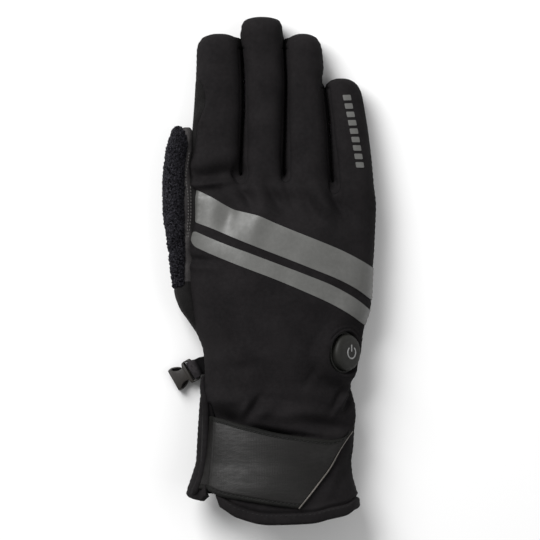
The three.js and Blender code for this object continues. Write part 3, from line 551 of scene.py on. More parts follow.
def dress(points):
    """The cut skin with its folds, seams and puckers."""
    x, y, z = points[:, :3].T
    normals = points[:, 3:6]
    upper = ease((normals[:, 2] - 0.02) / 0.5)
    lift = fold_height(folds, x, y) * upper
    seam = back_line(x, y, z)
    puckers = 0.6 + 0.4 * np.sin(y * 1.9)
    lift += groove(seam, 0.75, 1.1) - groove(seam - 2.0, 0.28, 1.1) * puckers
    for number in range(3):
        lift += groove(fork_line(number, x, y, z), 0.55, 0.8)
    lift += 0.12 * np.sin(x * 0.31 + y * 0.11) * np.sin(y * 0.27 - x * 0.07) * upper
    # the cloth rises to the button's rim
    away, height = from_button(points)
    drawn = (1 - ease((away - 12.6) / 8.0)) * ease((z - belt_high) / 6.5)
    facing = np.maximum(normals @ button_axis, 0.45)
    rise = np.clip((follow(*button_seat.T, away) - height) / facing, -6, 4)
    lift = lift * (1 - drawn) + drawn * rise
    moved = points[:, :3] + normals * lift[:, None]
    # the walls of two fingers rest against each other, lower down towards their tips
    limit = 17.5 - 6.5 * np.clip((y - fork_start) / 78, 0, 1)
    low = ease((limit - z) / 4) * ease((z - 1) / 4) * ease((np.abs(normals[:, 0]) - 0.25) / 0.4)
    for line, fork, end in zip(valleys, (118, 118, 111.5), (202, 200, 172)):
        beside = x - follow(*line.T, y)
        reach = 2.3 + 1.6 * ease((y - end + 22) / 8)
        near = low * ease((reach - np.abs(beside)) / 0.9) * ease((end - y) / 4) * ease((y - fork) / 3)
        moved[:, 0] -= (beside + 0.06 * np.sign(beside)) * near
    return moved


def thicken(outer, normals, faces, depth):
    """A closed wall whose other side lies depth below the first."""
    inner = outer - normals * depth
    edges = np.concatenate([faces[:, [0, 1]], faces[:, [1, 2]], faces[:, [2, 0]]])
    order = np.sort(edges, 1)
    _, where, times = np.unique(order, axis=0, return_inverse=True, return_counts=True)
    rim = edges[times[where.ravel()] == 1]
    n = len(outer)
    a, b = rim.T
    sides = np.concatenate([np.stack([b, a, a + n], 1), np.stack([b, a + n, b + n], 1)])
    return np.vstack([outer, inner]), np.concatenate([faces, faces[:, ::-1] + n, sides])


def lay(name, points, faces, materials, slots=None, sharp=None):
    """A mesh object from millimetre points, all of whose faces have the same number of corners."""
    mesh = bpy.data.meshes.new(name)
    faces = np.ascontiguousarray(faces, dtype=np.int32)
    mesh.vertices.add(len(points))
    mesh.vertices.foreach_set("co", ((points + to_frame) / 1000).astype(np.float32).ravel())
    mesh.loops.add(faces.size)
    mesh.loops.foreach_set("vertex_index", faces.ravel())
    mesh.polygons.add(len(faces))
    mesh.polygons.foreach_set("loop_start", np.arange(len(faces), dtype=np.int32) * faces.shape[1])
    mesh.polygons.foreach_set("use_smooth", np.ones(len(faces), dtype=bool))
    for material in materials:
        mesh.materials.append(material)
    if slots is not None:
        mesh.polygons.foreach_set("material_index", np.asarray(slots, dtype=np.int32))
    mesh.update(calc_edges=True)
    mesh.validate()
    if sharp:
        mesh.set_sharp_from_angle(angle=math.radians(sharp))
    piece = bpy.data.objects.new(name, mesh)
    scene.collection.objects.link(piece)
    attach(piece, "root")
    return piece


def sewn(name, outer, normals, faces, depth, materials, sharp=70):
    """A panel: its outer side in the first material, its inner side and rims in the last."""
    points, closed = thicken(outer, normals, faces, depth)
    slots = np.full(len(closed), len(materials) - 1)
    slots[: len(faces)] = 0
    return lay(name, points, closed, materials, slots, sharp)


def panel(name, part, materials, shape=dress, depth=wall):
    """A part cut from the skin, with its folds, as a wall of cloth or leather."""
    points, faces = part
    return sewn(name, shape(points), points[:, 3:], faces, depth, materials)


def node(tree, kind, sockets=None, **settings):
    """A node whose sockets take either a value or another node's output."""
    made = tree.nodes.new("ShaderNode" + kind)
    for key, value in settings.items():
        setattr(made, key, value)
    for key, value in (sockets or {}).items():
        if isinstance(value, bpy.types.NodeSocket):
            tree.links.new(value, made.inputs[key])
        else:
            made.inputs[key].default_value = value
    return made


def scaled(tree, share, source):
    return node(tree, "Math", {0: source, 1: share}, operation="MULTIPLY").outputs[0]


def summed(tree, first, second):
    return node(tree, "Math", {0: first, 1: second}, operation="ADD").outputs[0]


def noise(tree, place, scale, detail, roughness=0.5):
    sockets = {"Vector": place, "Scale": scale, "Detail": detail, "Roughness": roughness}
    return node(tree, "TexNoise", sockets).outputs[0]


def stretched(tree, source, low, high):
    """The source with low and high drawn out to 0 and 1."""
    return node(tree, "MapRange", {"Value": source, "From Min": low, "From Max": high}).outputs[0]


def start_group(name):
    """A texture group that takes a size, and gives a height and a mask of lighter patches."""
    tree = bpy.data.node_groups.new(name, "ShaderNodeTree")
    tree.interface.new_socket("Size", in_out="INPUT", socket_type="NodeSocketFloat").default_value = 1.0
    for socket in ("Height", "Patch"):
        tree.interface.new_socket(socket, in_out="OUTPUT", socket_type="NodeSocketFloat")
    size = tree.nodes.new("NodeGroupInput").outputs["Size"]
    return tree, size, node(tree, "TexCoord").outputs["Object"]


def end_group(tree, height, patch):
    """Sends the group's height and its mask out."""
    gives = tree.nodes.new("NodeGroupOutput")
    tree.links.new(height, gives.inputs["Height"])
    tree.links.new(patch, gives.inputs["Patch"])


# Brushed knit: a fine nap over small stitches, and slow patches of wear and dust
nap, size, place = start_group("nap")
hairs = noise(nap, place, scaled(nap, 2100, size), 3.0, 0.7)
knit = {"Vector": place, "Scale": scaled(nap, 1250, size), "Randomness": 0.35}
stitch = node(nap, "TexVoronoi", knit).outputs["Distance"]
wear = noise(nap, place, 42.0, 5.0, 0.62)
specks = noise(nap, place, 480.0, 2.0)
blend = summed(nap, scaled(nap, 0.72, wear), scaled(nap, 0.28, specks))
end_group(nap, summed(nap, hairs, stitch), stretched(nap, blend, 0.38, 0.62))

# Leather: cells of grain with creases between them
grain, size, place = start_group("grain")
wander = node(grain, "TexNoise", {"Vector": place, "Scale": 300.0, "Detail": 2.0}).outputs["Color"]
bent = node(grain, "MixRGB", {0: 0.004, 1: place, 2: wander}, blend_type="ADD").outputs[0]
cells = {"Vector": bent, "Scale": scaled(grain, 850, size)}
edges = node(grain, "TexVoronoi", cells, feature="DISTANCE_TO_EDGE").outputs["Distance"]
pores = noise(grain, place, scaled(grain, 2600, size), 2.0)
wear = noise(grain, place, 60.0, 4.0, 0.6)
relief = summed(grain, stretched(grain, edges, 0.0, 0.16), scaled(grain, 0.5, pores))
end_group(grain, relief, stretched(grain, wear, 0.36, 0.64))


def tone(*levels):
    """sRGB levels of 0 to 255 as a linear colour. One level alone is a grey."""
    shares = [x / 255 for x in (levels if len(levels) == 3 else levels * 3)]
    return (*[x / 12.92 if x <= 0.04045 else ((x + 0.055) / 1.055) ** 2.4 for x in shares], 1.0)


def made_of(name, texture, size, dark, light, roughness, relief, shine=0.5):
    """A material whose two tones, roughness and relief, in millimetres, follow a texture group."""
    material = bpy.data.materials.new(name)
    material.use_nodes = True
    tree = material.node_tree
    shader = tree.nodes["Principled BSDF"]
    shader.inputs["Specular IOR Level"].default_value = shine
    effect = tree.nodes.new("ShaderNodeGroup")
    effect.node_tree = texture
    effect.inputs["Size"].default_value = size
    patch, height = effect.outputs["Patch"], effect.outputs["Height"]
    colour = node(tree, "Mix", {0: patch, 6: dark, 7: light}, data_type="RGBA")
    tree.links.new(colour.outputs[2], shader.inputs["Base Color"])
    gloss = node(tree, "MapRange", {"Value": patch, "To Min": roughness + 0.05, "To Max": roughness - 0.05})
    tree.links.new(gloss.outputs[0], shader.inputs["Roughness"])
    bump = node(tree, "Bump", {"Height": height, "Strength": 0.6, "Distance": relief / 1000})
    tree.links.new(bump.outputs[0], shader.inputs["Normal"])
    return material


softshell = made_of("softshell", nap, 1.0, tone(20, 18.5, 19.5), tone(27, 25, 26), 0.9, 0.12, 0.1)
leather = made_of("leather", grain, 1.0, tone(18, 17, 17), tone(25, 24, 24), 0.75, 0.22, 0.1)
lining = made_of("lining", nap, 0.6, tone(20), tone(28), 0.95, 0.3, 0.1)


def inside(line, part):
    """How far each point of a part lies inside a line."""
    return line(*part[0][:, :3].T)


# How far a panel's edge stays back from its seam
back_gap, fork_gap = 0.07, 0.05


def outside_forks(x, y, z):
    """Positive where there is no strip between two fingers."""
    return np.minimum.reduce([-fork_line(number, x, y, z) for number in range(3)]) - fork_gap


hand = cut(skin, skin_faces, skin[:, 1])
for line in (1.2, -1.2):
    hand = score(*hand, inside(back_line, hand) - line)
for ring in (10.6, 11.3, 11.8, 12.3, 12.9, 13.5, 14.1, 14.9, 15.7):
    away, height = from_button(hand[0])
    hand = score(*hand, np.where(hand[0][:, 2] > 8, away, 40.0) - ring)

hand_panels = cut(*hand, inside(outside_forks, hand))
back = cut(*hand_panels, inside(back_line, hand_panels) - back_gap)
back_shell = panel("back_shell", back, [softshell, lining])
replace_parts(back_shell, "back_panel")

palm = cut(*hand_panels, -inside(back_line, hand_panels) - back_gap)
palm_leather = panel("palm_leather", palm, [leather, lining])
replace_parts(palm_leather, "palm_panel")

for number, name in enumerate(["index_middle", "middle_ring", "ring_little"]):
    strip = cut(*hand, fork_line(number, *hand[0][:, :3].T) - fork_gap)
    strip_piece = panel("fork_strip_" + name, strip, [softshell, lining])
    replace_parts(strip_piece, "fourchette_" + name)


# The thumb. It lies on its edge beside the hand, with a pile fabric back for wiping and leather at
# its front and root, sewn into the palm leather with a double row of pale thread.
# y, outer edge, inner edge, thickness as millimetres
thumb_sections = np.array([
    [26, -43.6, -38.0, 10.0],
    [31.5, -47.6, -41.0, 14.5],
    [38, -52.0, -43.4, 17.5],
    [44.5, -56.4, -45.2, 20.0],
    [54, -59.6, -46.2, 22.0],
    [67, -61.1, -46.6, 23.4],
    [82, -62.9, -47.0, 24.4],
    [100.7, -65.1, -46.8, 24.8],
    [112, -65.2, -48.2, 24.8],
    [121, -65.0, -49.4, 24.8],
    [128, -64.2, -49.0, 24.2],
    [133.0, -63.4, -48.4, 23.2],
    [138.5, -62.2, -48.4, 20.6],
    [143.0, -60.4, -49.0, 15.4],
    [145.6, -58.8, -50.4, 8.6],
    [146.6, -57.4, -51.6, 3.6],
])


def triangles(*faces):
    """One list of faces, each given by the grids of its three corners."""
    return np.concatenate([np.stack(corners, -1).reshape(-1, 3) for corners in faces])


def close_rings(rings):
    """The points and faces of a form made of rings, closed by a fan at both ends."""
    count, sides = rings.shape[:2]
    grid = np.arange(count * sides).reshape(count, sides)
    a, b = grid[:-1], np.roll(grid, -1, 1)[:-1]
    c, d = grid[1:], np.roll(grid, -1, 1)[1:]
    faces = [triangles((a, d, b), (a, c, d))]
    points = [rings.reshape(-1, 3)]
    for ring, flip in ((0, False), (count - 1, True)):
        hub = count * sides + len(points) - 1
        points.append(rings[ring].mean(0)[None])
        fan = np.stack([grid[ring], np.roll(grid[ring], -1), np.full(sides, hub)], 1)
        faces.append(fan[:, ::-1] if flip else fan)
    return np.vstack(points), np.concatenate(faces)


thumb_start, thumb_long = 26, 120
thumb_high = 12.5
thumb_square = 2 / 2.25


def thumb_skin(rings=190, sides=96):
    """The thumb as rings down its length, closer together towards its ends."""
    share = 0.5 - 0.5 * np.cos(np.pi * (0.16 + 0.84 * np.linspace(0, 1, rings)))
    y = thumb_start + (share - share[0]) * thumb_long / (share[-1] - share[0])
    outer, inner, thick = [follow(thumb_sections[:, 0], each, y)[:, None] for each in thumb_sections.T[1:]]
    turn = np.linspace(0, 2 * np.pi, sides, endpoint=False)[None, :]
    c, s = np.cos(turn), np.sin(turn)
    x = (outer + inner) / 2 + (inner - outer) / 2 * np.sign(c) * np.abs(c) ** thumb_square
    z = thumb_high + thick / 2 * np.sign(s) * np.abs(s) ** thumb_square
    surface = np.stack([x, y[:, None] + 0 * x, np.maximum(z, 0.02)], 2)
    aside = np.roll(surface, -1, 1) - np.roll(surface, 1, 1)
    normals = np.cross(np.gradient(surface, axis=0), aside)
    normals /= np.maximum(np.linalg.norm(normals, axis=2, keepdims=True), 1e-9)
    points, faces = close_rings(surface)
    return np.hstack([points, np.vstack([normals.reshape(-1, 3), [[0, -1, 0], [0, 1, 0]]])]), faces


# The edge of the pile fabric on the side of the hand: y, then x
pile_edge = np.array([
    [50, -54.2], [57, -54.0], [76, -53.4], [105, -53.9], [124, -53.2], [135, -52.0], [141, -52.6],
    [147, -56.0],
])


def pile_line(x, y, z):
    """Positive on the pile fabric of the thumb."""
    edge = np.minimum(follow(*pile_edge.T, y) - x, z - 9)
    return both(edge, y - 56 - 0.25 * (x + 60), 2.0)


# Creases of the pile fabric, as for the hand
thumb_folds = np.array([
    [-58.0, 80.0, 48, 9, 2.0, -1.3],
    [-59.0, 84.5, 50, 9, 2.2, 0.8],
    [-56.0, 66.0, 62, 9, 2.2, -0.9],
    [-60.0, 118.0, 80, 12, 3.0, -0.6],
    [-55.0, 136.0, 50, 5, 2.0, 0.8],
])
thumb, thumb_faces = thumb_skin()
thumb_wall = 1.2


def thumb_dress(points):
    """The thumb with its seam, slow swells and creases."""
    x, y, z = points[:, :3].T
    swell = 0.35 * np.sin(y * 0.21 + x * 0.1) * np.sin(y * 0.083 + 1.0)
    lift = groove(pile_line(x, y, z), 0.6, 0.9) + swell * np.clip(points[:, 5] + 0.3, 0, 1)
    lift += fold_height(thumb_folds, x, y) * np.clip(points[:, 5] + 0.5, 0, 1)
    return points[:, :3] + points[:, 3:6] * lift[:, None]


# Pile: dark gaps and paler tips of thread, in clumps, with painted light that keeps it paler on the outer
# side of the thumb and painted shade that darkens it towards the hand
loops, size, place = start_group("loops")
fine = noise(loops, place, scaled(loops, 1100, size), 2.0, 0.6)
clumps = noise(loops, place, 760.0, 3.0, 0.7)
blend = summed(loops, scaled(loops, 0.4, fine), scaled(loops, 0.6, clumps))
across = node(loops, "SeparateXYZ", {0: place}).outputs[0]
# painted light and shade: full pile tone on the outer side of the thumb, darker towards the hand
painted_side_light_range = {"Value": across, "From Min": -0.057, "From Max": -0.0475, "To Min": 1.0, "To Max": 0.4}
painted_side_light = node(loops, "MapRange", painted_side_light_range).outputs[0]
end_group(loops, fine, scaled(loops, painted_side_light, stretched(loops, blend, 0.42, 0.64)))
terry = made_of("terry", loops, 1.0, tone(3, 3, 5), tone(68, 67, 73), 0.98, 0.6, 0.08)
worn_leather = made_of("worn_leather", grain, 1.0, tone(38, 36, 37), tone(60, 58, 58), 0.7, 0.22, 0.15)

pile_zone = pile_line(*thumb[:, :3].T)
pile = cut(thumb, thumb_faces, pile_zone - 0.06)
thumb_pile = panel("thumb_pile", pile, [terry, lining], thumb_dress, thumb_wall)
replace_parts(thumb_pile, "thumb_terry")

front = cut(thumb, thumb_faces, -pile_zone - 0.06)
thumb_front = panel("thumb_front", front, [worn_leather, leather, lining], thumb_dress, thumb_wall)
# Below the pile the leather is unworn, as far as a line that slants towards the hand
for face in thumb_front.data.polygons:
    x, y, _ = np.array(face.center) * 1000 - to_frame
    if face.material_index == 0 and y < 60 and x < -49.6 + 0.16 * (58 - y):
        face.material_index = 1
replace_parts(thumb_front, "thumb_leather")

# The cuff. It goes on from the hand's softshell without a seam, flares to the hem, and is split on
# the thumb side, where its edge is rolled over a cord.
# The hem's place below the wrist, and how many millimetres one share of its drop is
hem_start, drop_scale = 63, 14
# Turn in degrees round the section, then how far the hem rises or drops, as a share
hem_drop = np.array([
    [0, 0.3], [15, 0.34], [30, 0.54], [48, 0.68], [64, 0.85], [91, 0.9], [112, 0.62], [127, 0.18],
    [140, 0.02], [165, -0.15], [200, -0.3], [270, -0.1], [360, 0.3],
])
# y, left edge, right edge of the slit
slit_edges = np.array([
    [-90, -41.0, -28.8], [-64, -41.0, -34.2], [-56, -41.8, -36.8], [-46, -41.6, -37.5],
    [-35, -40.6, -37.9], [-21, -40.0, -37.9], [-9, -39.8, -39.1],
])


def along_line(line, shares):
    """Points at shares of the length of a smooth line."""
    run = np.concatenate([[0], np.cumsum(np.linalg.norm(np.diff(line, axis=0), axis=1))])
    run /= run[-1]
    return np.stack([follow(run, line[:, 0], shares), follow(run, line[:, 1], shares)], 1)


def cuff_top(x, y, proud):
    """The height of the cuff's upper side, without folds, with a layer proud of it."""
    left, right, crest, belt, sole, square = section_at(y)
    u = np.clip(np.abs(x - (left + right) / 2) / ((right - left) / 2 + proud), 0, 0.999)
    return belt + (crest - belt + proud) * (1 - u**square) ** (1 / square)


# The middle of the slit's rolled edge, from the side seam down to the hem
roll_line = np.array([
    [-42.5, 7.4], [-43.5, 2.6], [-43.4, -1.2], [-42.4, -5.8], [-41.9, -12.0], [-41.7, -21.3],
    [-42.1, -35.0], [-43.9, -46.5], [-46.2, -54.0], [-48.4, -59.0],
])


def turn_at(x, y, z):
    """The turn in degrees round the section at a point of the skin."""
    left, right, crest, belt, sole, square = section_at(y)
    u = (x - (left + right) / 2) / ((right - left) / 2)
    w = (z - belt) / np.where(z > belt, crest - belt, belt - sole)
    across, up = [np.sign(v) * np.abs(v) ** (square / 2) for v in (u, w)]
    return np.mod(np.degrees(np.arctan2(up, across)), 360)


def above_hem(x, y, z):
    """How far a point lies above the lower edge of the hem."""
    corner = 4.6 * ease((x + 45.6) / 5.6) * (x < -38) * (z > 14)
    return y + hem_start - corner + drop_scale * follow(*hem_drop.T, turn_at(x, y, z))


def plain_side(x, z):
    """1 on the narrow panel beside the slit, whose hem is turned in flat."""
    return ease((-37.5 - x) / 1.5) * ease((z - 3) / 4)


def beside_slit(x, y, z):
    """Positive on the cuff, negative in its slit."""
    left, right = follow(*slit_edges[:, :2].T, y), follow(slit_edges[:, 0], slit_edges[:, 2], y)
    return np.maximum.reduce([left - x, x - right, 15 - z, y + 9])


def beside_roll(x, y, z):
    """The dark lines where the rolled edge of the slit meets the panel."""
    seam = x - np.interp(y, roll_line[::-1, 1], roll_line[::-1, 0])
    return (groove(seam - 2.1, 1.3, 0.9) + groove(seam + 2.1, 0.35, 0.7)) * (z > 15) * (y < -8)


def dress_cuff(points):
    """The cuff, drawn in where the hem is sewn on and beside the slit."""
    x, y, z = points[:, :3].T
    bottom = above_hem(x, y, z)
    lift = groove(np.maximum(bottom - 6.5, 0), 0.8, 1.0) - groove(bottom - 8.6, 0.3, 1.2)
    lift *= 1 - 0.85 * plain_side(x, z)
    lift += beside_roll(x, y, z)
    lift += groove(np.clip(beside_slit(x, y, z), -1, None), 0.5, 0.9) * (z > 13)
    return dress(points) + points[:, 3:6] * lift[:, None]


hem_high, hem_wall = 6.45, 2.9
thread_high = 5.2
below_wrist = cut(skin, skin_faces, -skin[:, 1])
open_cuff = cut(*below_wrist, inside(beside_slit, below_wrist))
upper_cuff = cut(*open_cuff, inside(above_hem, open_cuff) - thread_high)
for line in (6.5, 7.4, 8.6):
    upper_cuff = score(*upper_cuff, inside(above_hem, upper_cuff) - line)
cuff_shell = panel("cuff_shell", upper_cuff, [softshell, lining], dress_cuff)
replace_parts(cuff_shell, "cuff")

# The hem is rolled, but turned in flat on the narrow panel
band = cut(*open_cuff, inside(above_hem, open_cuff))
band = cut(*band, hem_high - inside(above_hem, band))
for line in (0.35, 0.9, 5.6, 6.1):
    band = score(*band, inside(above_hem, band) - line)
above = inside(above_hem, band)
flat_here = plain_side(band[0][:, 0], band[0][:, 2])
roll = (1.6 * (1 - np.abs(2 * above / hem_high - 1) ** 5) - 0.5) * (1 - flat_here)
roll += flat_here * (0.05 - 0.7 * np.clip(1 - above / 1.2, 0, 1) ** 2)
roll += inside(beside_roll, band)
hem_points = dress(band[0]) + band[0][:, 3:] * roll[:, None]
hem_points[:, 2] = np.maximum(hem_points[:, 2], 0.02)
cuff_band = sewn("cuff_band", hem_points, band[0][:, 3:], band[1], hem_wall, [softshell, lining])
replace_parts(cuff_band, "cuff_hem")


def tube(path, radius, sides, squash=1.0, up=(0, 0, 1)):
    """A round or flattened cord along a path of points, closed at both ends."""
    ahead = np.gradient(path, axis=0)
    ahead /= np.linalg.norm(ahead, axis=1, keepdims=True)
    aside = np.cross(ahead, np.asarray(up, float) + 0 * path)
    aside /= np.linalg.norm(aside, axis=1, keepdims=True)
    over = np.cross(aside, ahead)
    turn = np.linspace(0, 2 * np.pi, sides, endpoint=False)[None, :, None]
    radius = np.broadcast_to(radius, (len(path),))[:, None, None]
    round_it = np.cos(turn) * aside[:, None] + squash * np.sin(turn) * over[:, None]
    return close_rings(path[:, None] + radius * round_it)


# The rolled edge of the slit, which thins out at the side seam and at the hem
roll_steps = 90
x, y = along_line(roll_line, np.linspace(0, 1, roll_steps)).T
left_side = follow(sections[:, 0], sections[:, 1], y)
z = cuff_top(np.maximum(x, left_side + 1.2), y, 0.0) + 0.35 - 5.5 * ease((y + 4) / 7.5)
step = np.arange(roll_steps)
slim = 1.85 * np.minimum(1, 0.72 + np.minimum(step / 60, step[::-1] / 9))
cord = tube(np.column_stack([x, y, z]), slim + 0.08 * np.sin(y * 1.3), 20)
slit_roll = lay("slit_roll", *cord, [softshell])
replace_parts(slit_roll, "slit_binding")

# The wrist strap. A wide stiff band of fine-grained leather runs out of the slit and over the wrist,
# stitched along both edges, and ends in a slanting cut with a folded edge whose pale colour is a painted
# highlight.
# x, y down the top edge, the bottom edge, the start in the slit and the slanting end
strap_top = np.array([
    [-38.8, -15.4], [-36.9, -15.9], [-30.9, -17.2], [-24.3, -19.2], [-13.4, -21.8], [-5.5, -23.8],
    [2.5, -25.3], [12.4, -26.7], [20.2, -27.8], [28.0, -28.5], [33.0, -28.0], [40.4, -24.0],
])
strap_bottom = np.array([
    [-41.2, -56.0], [-37.0, -58.4], [-32.6, -60.0], [-22.6, -61.8], [-11.5, -63.5], [0, -65.2],
    [10.1, -66.4],
])
strap_start = np.array([[-38.8, -15.4], [-39.0, -25.0], [-39.6, -38.0], [-40.4, -48.5], [-41.2, -56.0]])
strap_end = np.array([
    [40.4, -24.0], [37.2, -28.3], [33.1, -34.6], [27.8, -43.9], [21.5, -52.2], [16.3, -58.8],
    [10.1, -66.4],
])
strap_wide, strap_long, strap_thick = 42, 75, 1.7
strap_proud = 2.3
thread_inset, edge_width = 2.4, 2.9


def strap_place(s, t):
    """A point of the strap in plan, from its slit end to its slanting end and from top to bottom."""
    top, bottom = along_line(strap_top, s), along_line(strap_bottom, s)
    left, right = along_line(strap_start, t), along_line(strap_end, t)
    s, t = s[:, None], t[:, None]
    start = (1 - t) * strap_top[0] + t * strap_bottom[0]
    end = (1 - t) * strap_top[-1] + t * strap_bottom[-1]
    return (1 - t) * top + t * bottom + (1 - s) * (left - start) + s * (right - end)


columns, rows = 190, 110
across, down = np.meshgrid(np.linspace(0, 1, columns), np.linspace(0, 1, rows))
across, down = across.ravel(), down.ravel()
hidden = across == 0
x, y = strap_place(across, down).T
x = x - 5.0 * hidden
edge = np.minimum.reduce([down * strap_wide, (1 - down) * strap_wide, (1 - across) * 60])
z = cuff_top(np.maximum(x, -42.5), y, strap_proud) + groove(across * strap_long, 3.4, 1.2) - 1.2 * hidden
z += 0.5 * np.sin(down * 3.1 + 0.3) * np.sin(across * 5.0) - 0.9 * np.exp(-edge / 0.55)
z += groove(np.minimum(down, 1 - down) * strap_wide - thread_inset, 0.28, 0.5)
z += 1.5 * np.sin(np.pi * down) * (1 - across**2)
strap_points = np.stack([x, y, z], 1)
grid = np.arange(columns * rows).reshape(rows, columns)
a, b, c, d = grid[:-1, :-1], grid[:-1, 1:], grid[1:, :-1], grid[1:, 1:]
strap_faces = triangles((a, c, d), (a, d, b))
surface = strap_points.reshape(rows, columns, 3)
strap_normals = np.cross(np.gradient(surface, axis=1), -np.gradient(surface, axis=0)).reshape(-1, 3)
strap_normals /= np.linalg.norm(strap_normals, axis=1, keepdims=True)

# Fine upright ribs, with short gaps between them like a pressed weave
ribs, size, place = start_group("ribs")
waves = {"Vector": place, "Scale": scaled(ribs, 350, size)}
waves.update({"Distortion": 3.4, "Detail": 2.0, "Detail Scale": 1.4})
upright = node(ribs, "TexWave", waves, bands_direction="X").outputs["Fac"]
leaning = {"Vector": place, "Rotation": (0, 0, math.radians(5)), "Scale": (0.16, 1.0, 1.0)}
drawn_out = node(ribs, "Mapping", leaning).outputs[0]
streaks = noise(ribs, drawn_out, scaled(ribs, 620, size), 4.0, 0.65)
pores = noise(ribs, place, 1500.0, 3.0)
wear = noise(ribs, place, 55.0, 4.0, 0.65)
woven = summed(ribs, scaled(ribs, 0.3, upright), scaled(ribs, 2.4, streaks))
blend = summed(ribs, scaled(ribs, 0.4, wear), scaled(ribs, 0.6, streaks))
end_group(ribs, summed(ribs, woven, scaled(ribs, 0.7, pores)), stretched(ribs, blend, 0.4, 0.6))
strap_leather = made_of("strap_leather", ribs, 1.0, tone(9, 8, 7), tone(18, 16.5, 15.5), 0.53, 0.09, 0.26)
strap_edge = made_of("strap_edge", grain, 1.6, tone(13, 13, 12), tone(20, 20, 18), 0.62, 0.1, 0.15)
strap_layers = [strap_leather, strap_edge]
strap = sewn("strap", strap_points, strap_normals, strap_faces, strap_thick, strap_layers)
from_edge = np.minimum(down, 1 - down)[strap_faces].mean(1) * strap_wide
for number in np.flatnonzero(from_edge < edge_width):
    strap.data.polygons[int(number)].material_index = 1
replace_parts(strap, "wrist_strap")

# The stripes. Two bands of grey reflective film are pressed onto the back, slanting down towards the
# little finger, and follow every fold of the cloth under them.
# Their upper and lower edges, x and y
wide_top = np.array([
    [-47.6, 111.0], [-46.3, 110.4], [-39.1, 107.1], [-31.4, 102.7], [-24.7, 99.5], [-17.0, 97.5],
    [-11.4, 95.8], [-3.7, 92.5], [5.2, 88.8], [16.3, 84.4], [29.6, 79.0], [38.5, 74.9], [47.3, 70.0],
    [53.5, 66.0],
])
wide_low = np.array([
    [-47.6, 92.8], [-39.1, 89.6], [-28.0, 84.9], [-19.2, 81.2], [-5.9, 76.0], [5.2, 71.7],
    [16.3, 67.3], [27.4, 62.9], [34.0, 60.0], [41.8, 55.8], [47.3, 52.0], [53.5, 46.8],
])
narrow_top = np.array([
    [-49.4, 88.6], [-39.1, 83.9], [-28.0, 79.4], [-17.0, 75.3], [-5.9, 71.1], [5.2, 66.9],
    [16.3, 62.6], [27.4, 58.1], [35.1, 54.2], [44.0, 48.6], [49.5, 43.9], [53.5, 40.0],
])
narrow_low = np.array([
    [-49.4, 79.9], [-39.1, 75.1], [-28.0, 70.5], [-17.0, 66.2], [-5.9, 62.0], [5.2, 57.5],
    [16.3, 52.7], [27.4, 47.6], [36.2, 42.8], [42.9, 38.4], [53.5, 30.0],
])
film_proud, film_thick = 0.42, 0.34
film = made_of("film", nap, 2.2, tone(80, 80, 78), tone(92, 92, 90), 0.42, 0.04, 0.4)


def pressed_on(name, line):
    """Film on the back, in the shape where line(x, y) is positive."""
    patch = cut(skin, skin_faces, np.where(skin[:, 5] > -0.05, line(skin[:, 0], skin[:, 1]), -9.0))
    points, faces = cut(*patch, patch[0][:, 2] - belt_high - 0.2)
    upper = dress(points) + points[:, 3:] * film_proud
    made = sewn(name, upper, points[:, 3:], faces, film_thick, [film], sharp=50)
    return made


def rounded(a, b, radius):
    """The inner distance from the corner between two edges, rounded."""
    inner = np.minimum(a, b)
    deep = np.hypot(np.minimum(a - radius, 0), np.minimum(b - radius, 0))
    return np.where((a < radius) & (b < radius), radius - deep, inner)


def between(top, low, x, y):
    """About how far a point lies inside both edges, which slant."""
    return np.minimum(follow(*top.T, x) - y, y - follow(*low.T, x)) * 0.92


def wide_line(x, y):
    return rounded(between(wide_top, wide_low, x, y), x + 47.8, 1.2)


def narrow_line(x, y):
    return rounded(between(narrow_top, narrow_low, x, y), x + 49.8, 3.4)


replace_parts(pressed_on("wide_band", wide_line), "wide_stripe")
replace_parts(pressed_on("narrow_band", narrow_line), "narrow_stripe")


def refine(points, faces):
    """Splits every face in four."""
    edges = np.sort(np.concatenate([faces[:, [0, 1]], faces[:, [1, 2]], faces[:, [2, 0]]]), 1)
    pairs, where = np.unique(edges, axis=0, return_inverse=True)
    middle = len(points) + where.ravel().reshape(3, -1)
    fresh = (points[pairs[:, 0]] + points[pairs[:, 1]]) / 2
    a, b, c = faces.T
    ab, bc, ca = middle
    quads = [np.stack(t, 1) for t in ((a, ab, ca), (b, bc, ab), (c, ca, bc), (ab, bc, ca))]
    return np.vstack([points, fresh]), np.concatenate(quads)


# The little finger's mark. A plain row of slanting bars is cut from the same reflective film, and
# pressed onto the cloth down the middle of the finger.
bar_line = np.array([[36.9, 163.6], [39.6, 150.5], [42.2, 137.0], [44.4, 123.6]])
bar_count, bar_length, bar_tall = 9, 3.1, 4.3
bar_slant, bar_corner = 0.18, 0.5
bar_proud, bar_thick = 0.3, 0.26
# a strip of the skin round the row, which is split finely enough for the bars' corners
row_middle, row_half_long, row_half_wide = 143.6, 24.0, 5.0
from_row = np.abs(skin[:, 0] - np.interp(skin[:, 1], bar_line[::-1, 1], bar_line[::-1, 0]))
finger_strip = cut(skin, skin_faces, np.where(skin[:, 5] > 0.1, row_half_wide - from_row, -9.0))
finger_strip = cut(*finger_strip, row_half_long - np.abs(finger_strip[0][:, 1] - row_middle))
finger_strip = refine(*refine(*finger_strip))
bars = []
for share in np.linspace(0.03, 0.97, bar_count):
    spot, after = along_line(bar_line, np.array([share, share + 0.01]))
    ahead = (after - spot) / np.linalg.norm(after - spot)
    dx, dy = (finger_strip[0][:, :2] - spot).T
    along = dx * ahead[0] + dy * ahead[1]
    aside = dy * ahead[0] - dx * ahead[1]
    ends = bar_length / 2 - np.abs(along - bar_slant * aside)
    bars.append(cut(*finger_strip, rounded(ends, bar_tall / 2 - np.abs(aside), bar_corner)))
points, faces = join_skins(*bars)
upper = dress(points) + points[:, 3:] * bar_proud
finger_bars = sewn("finger_bars", upper, points[:, 3:], faces, bar_thick, [film], sharp=50)

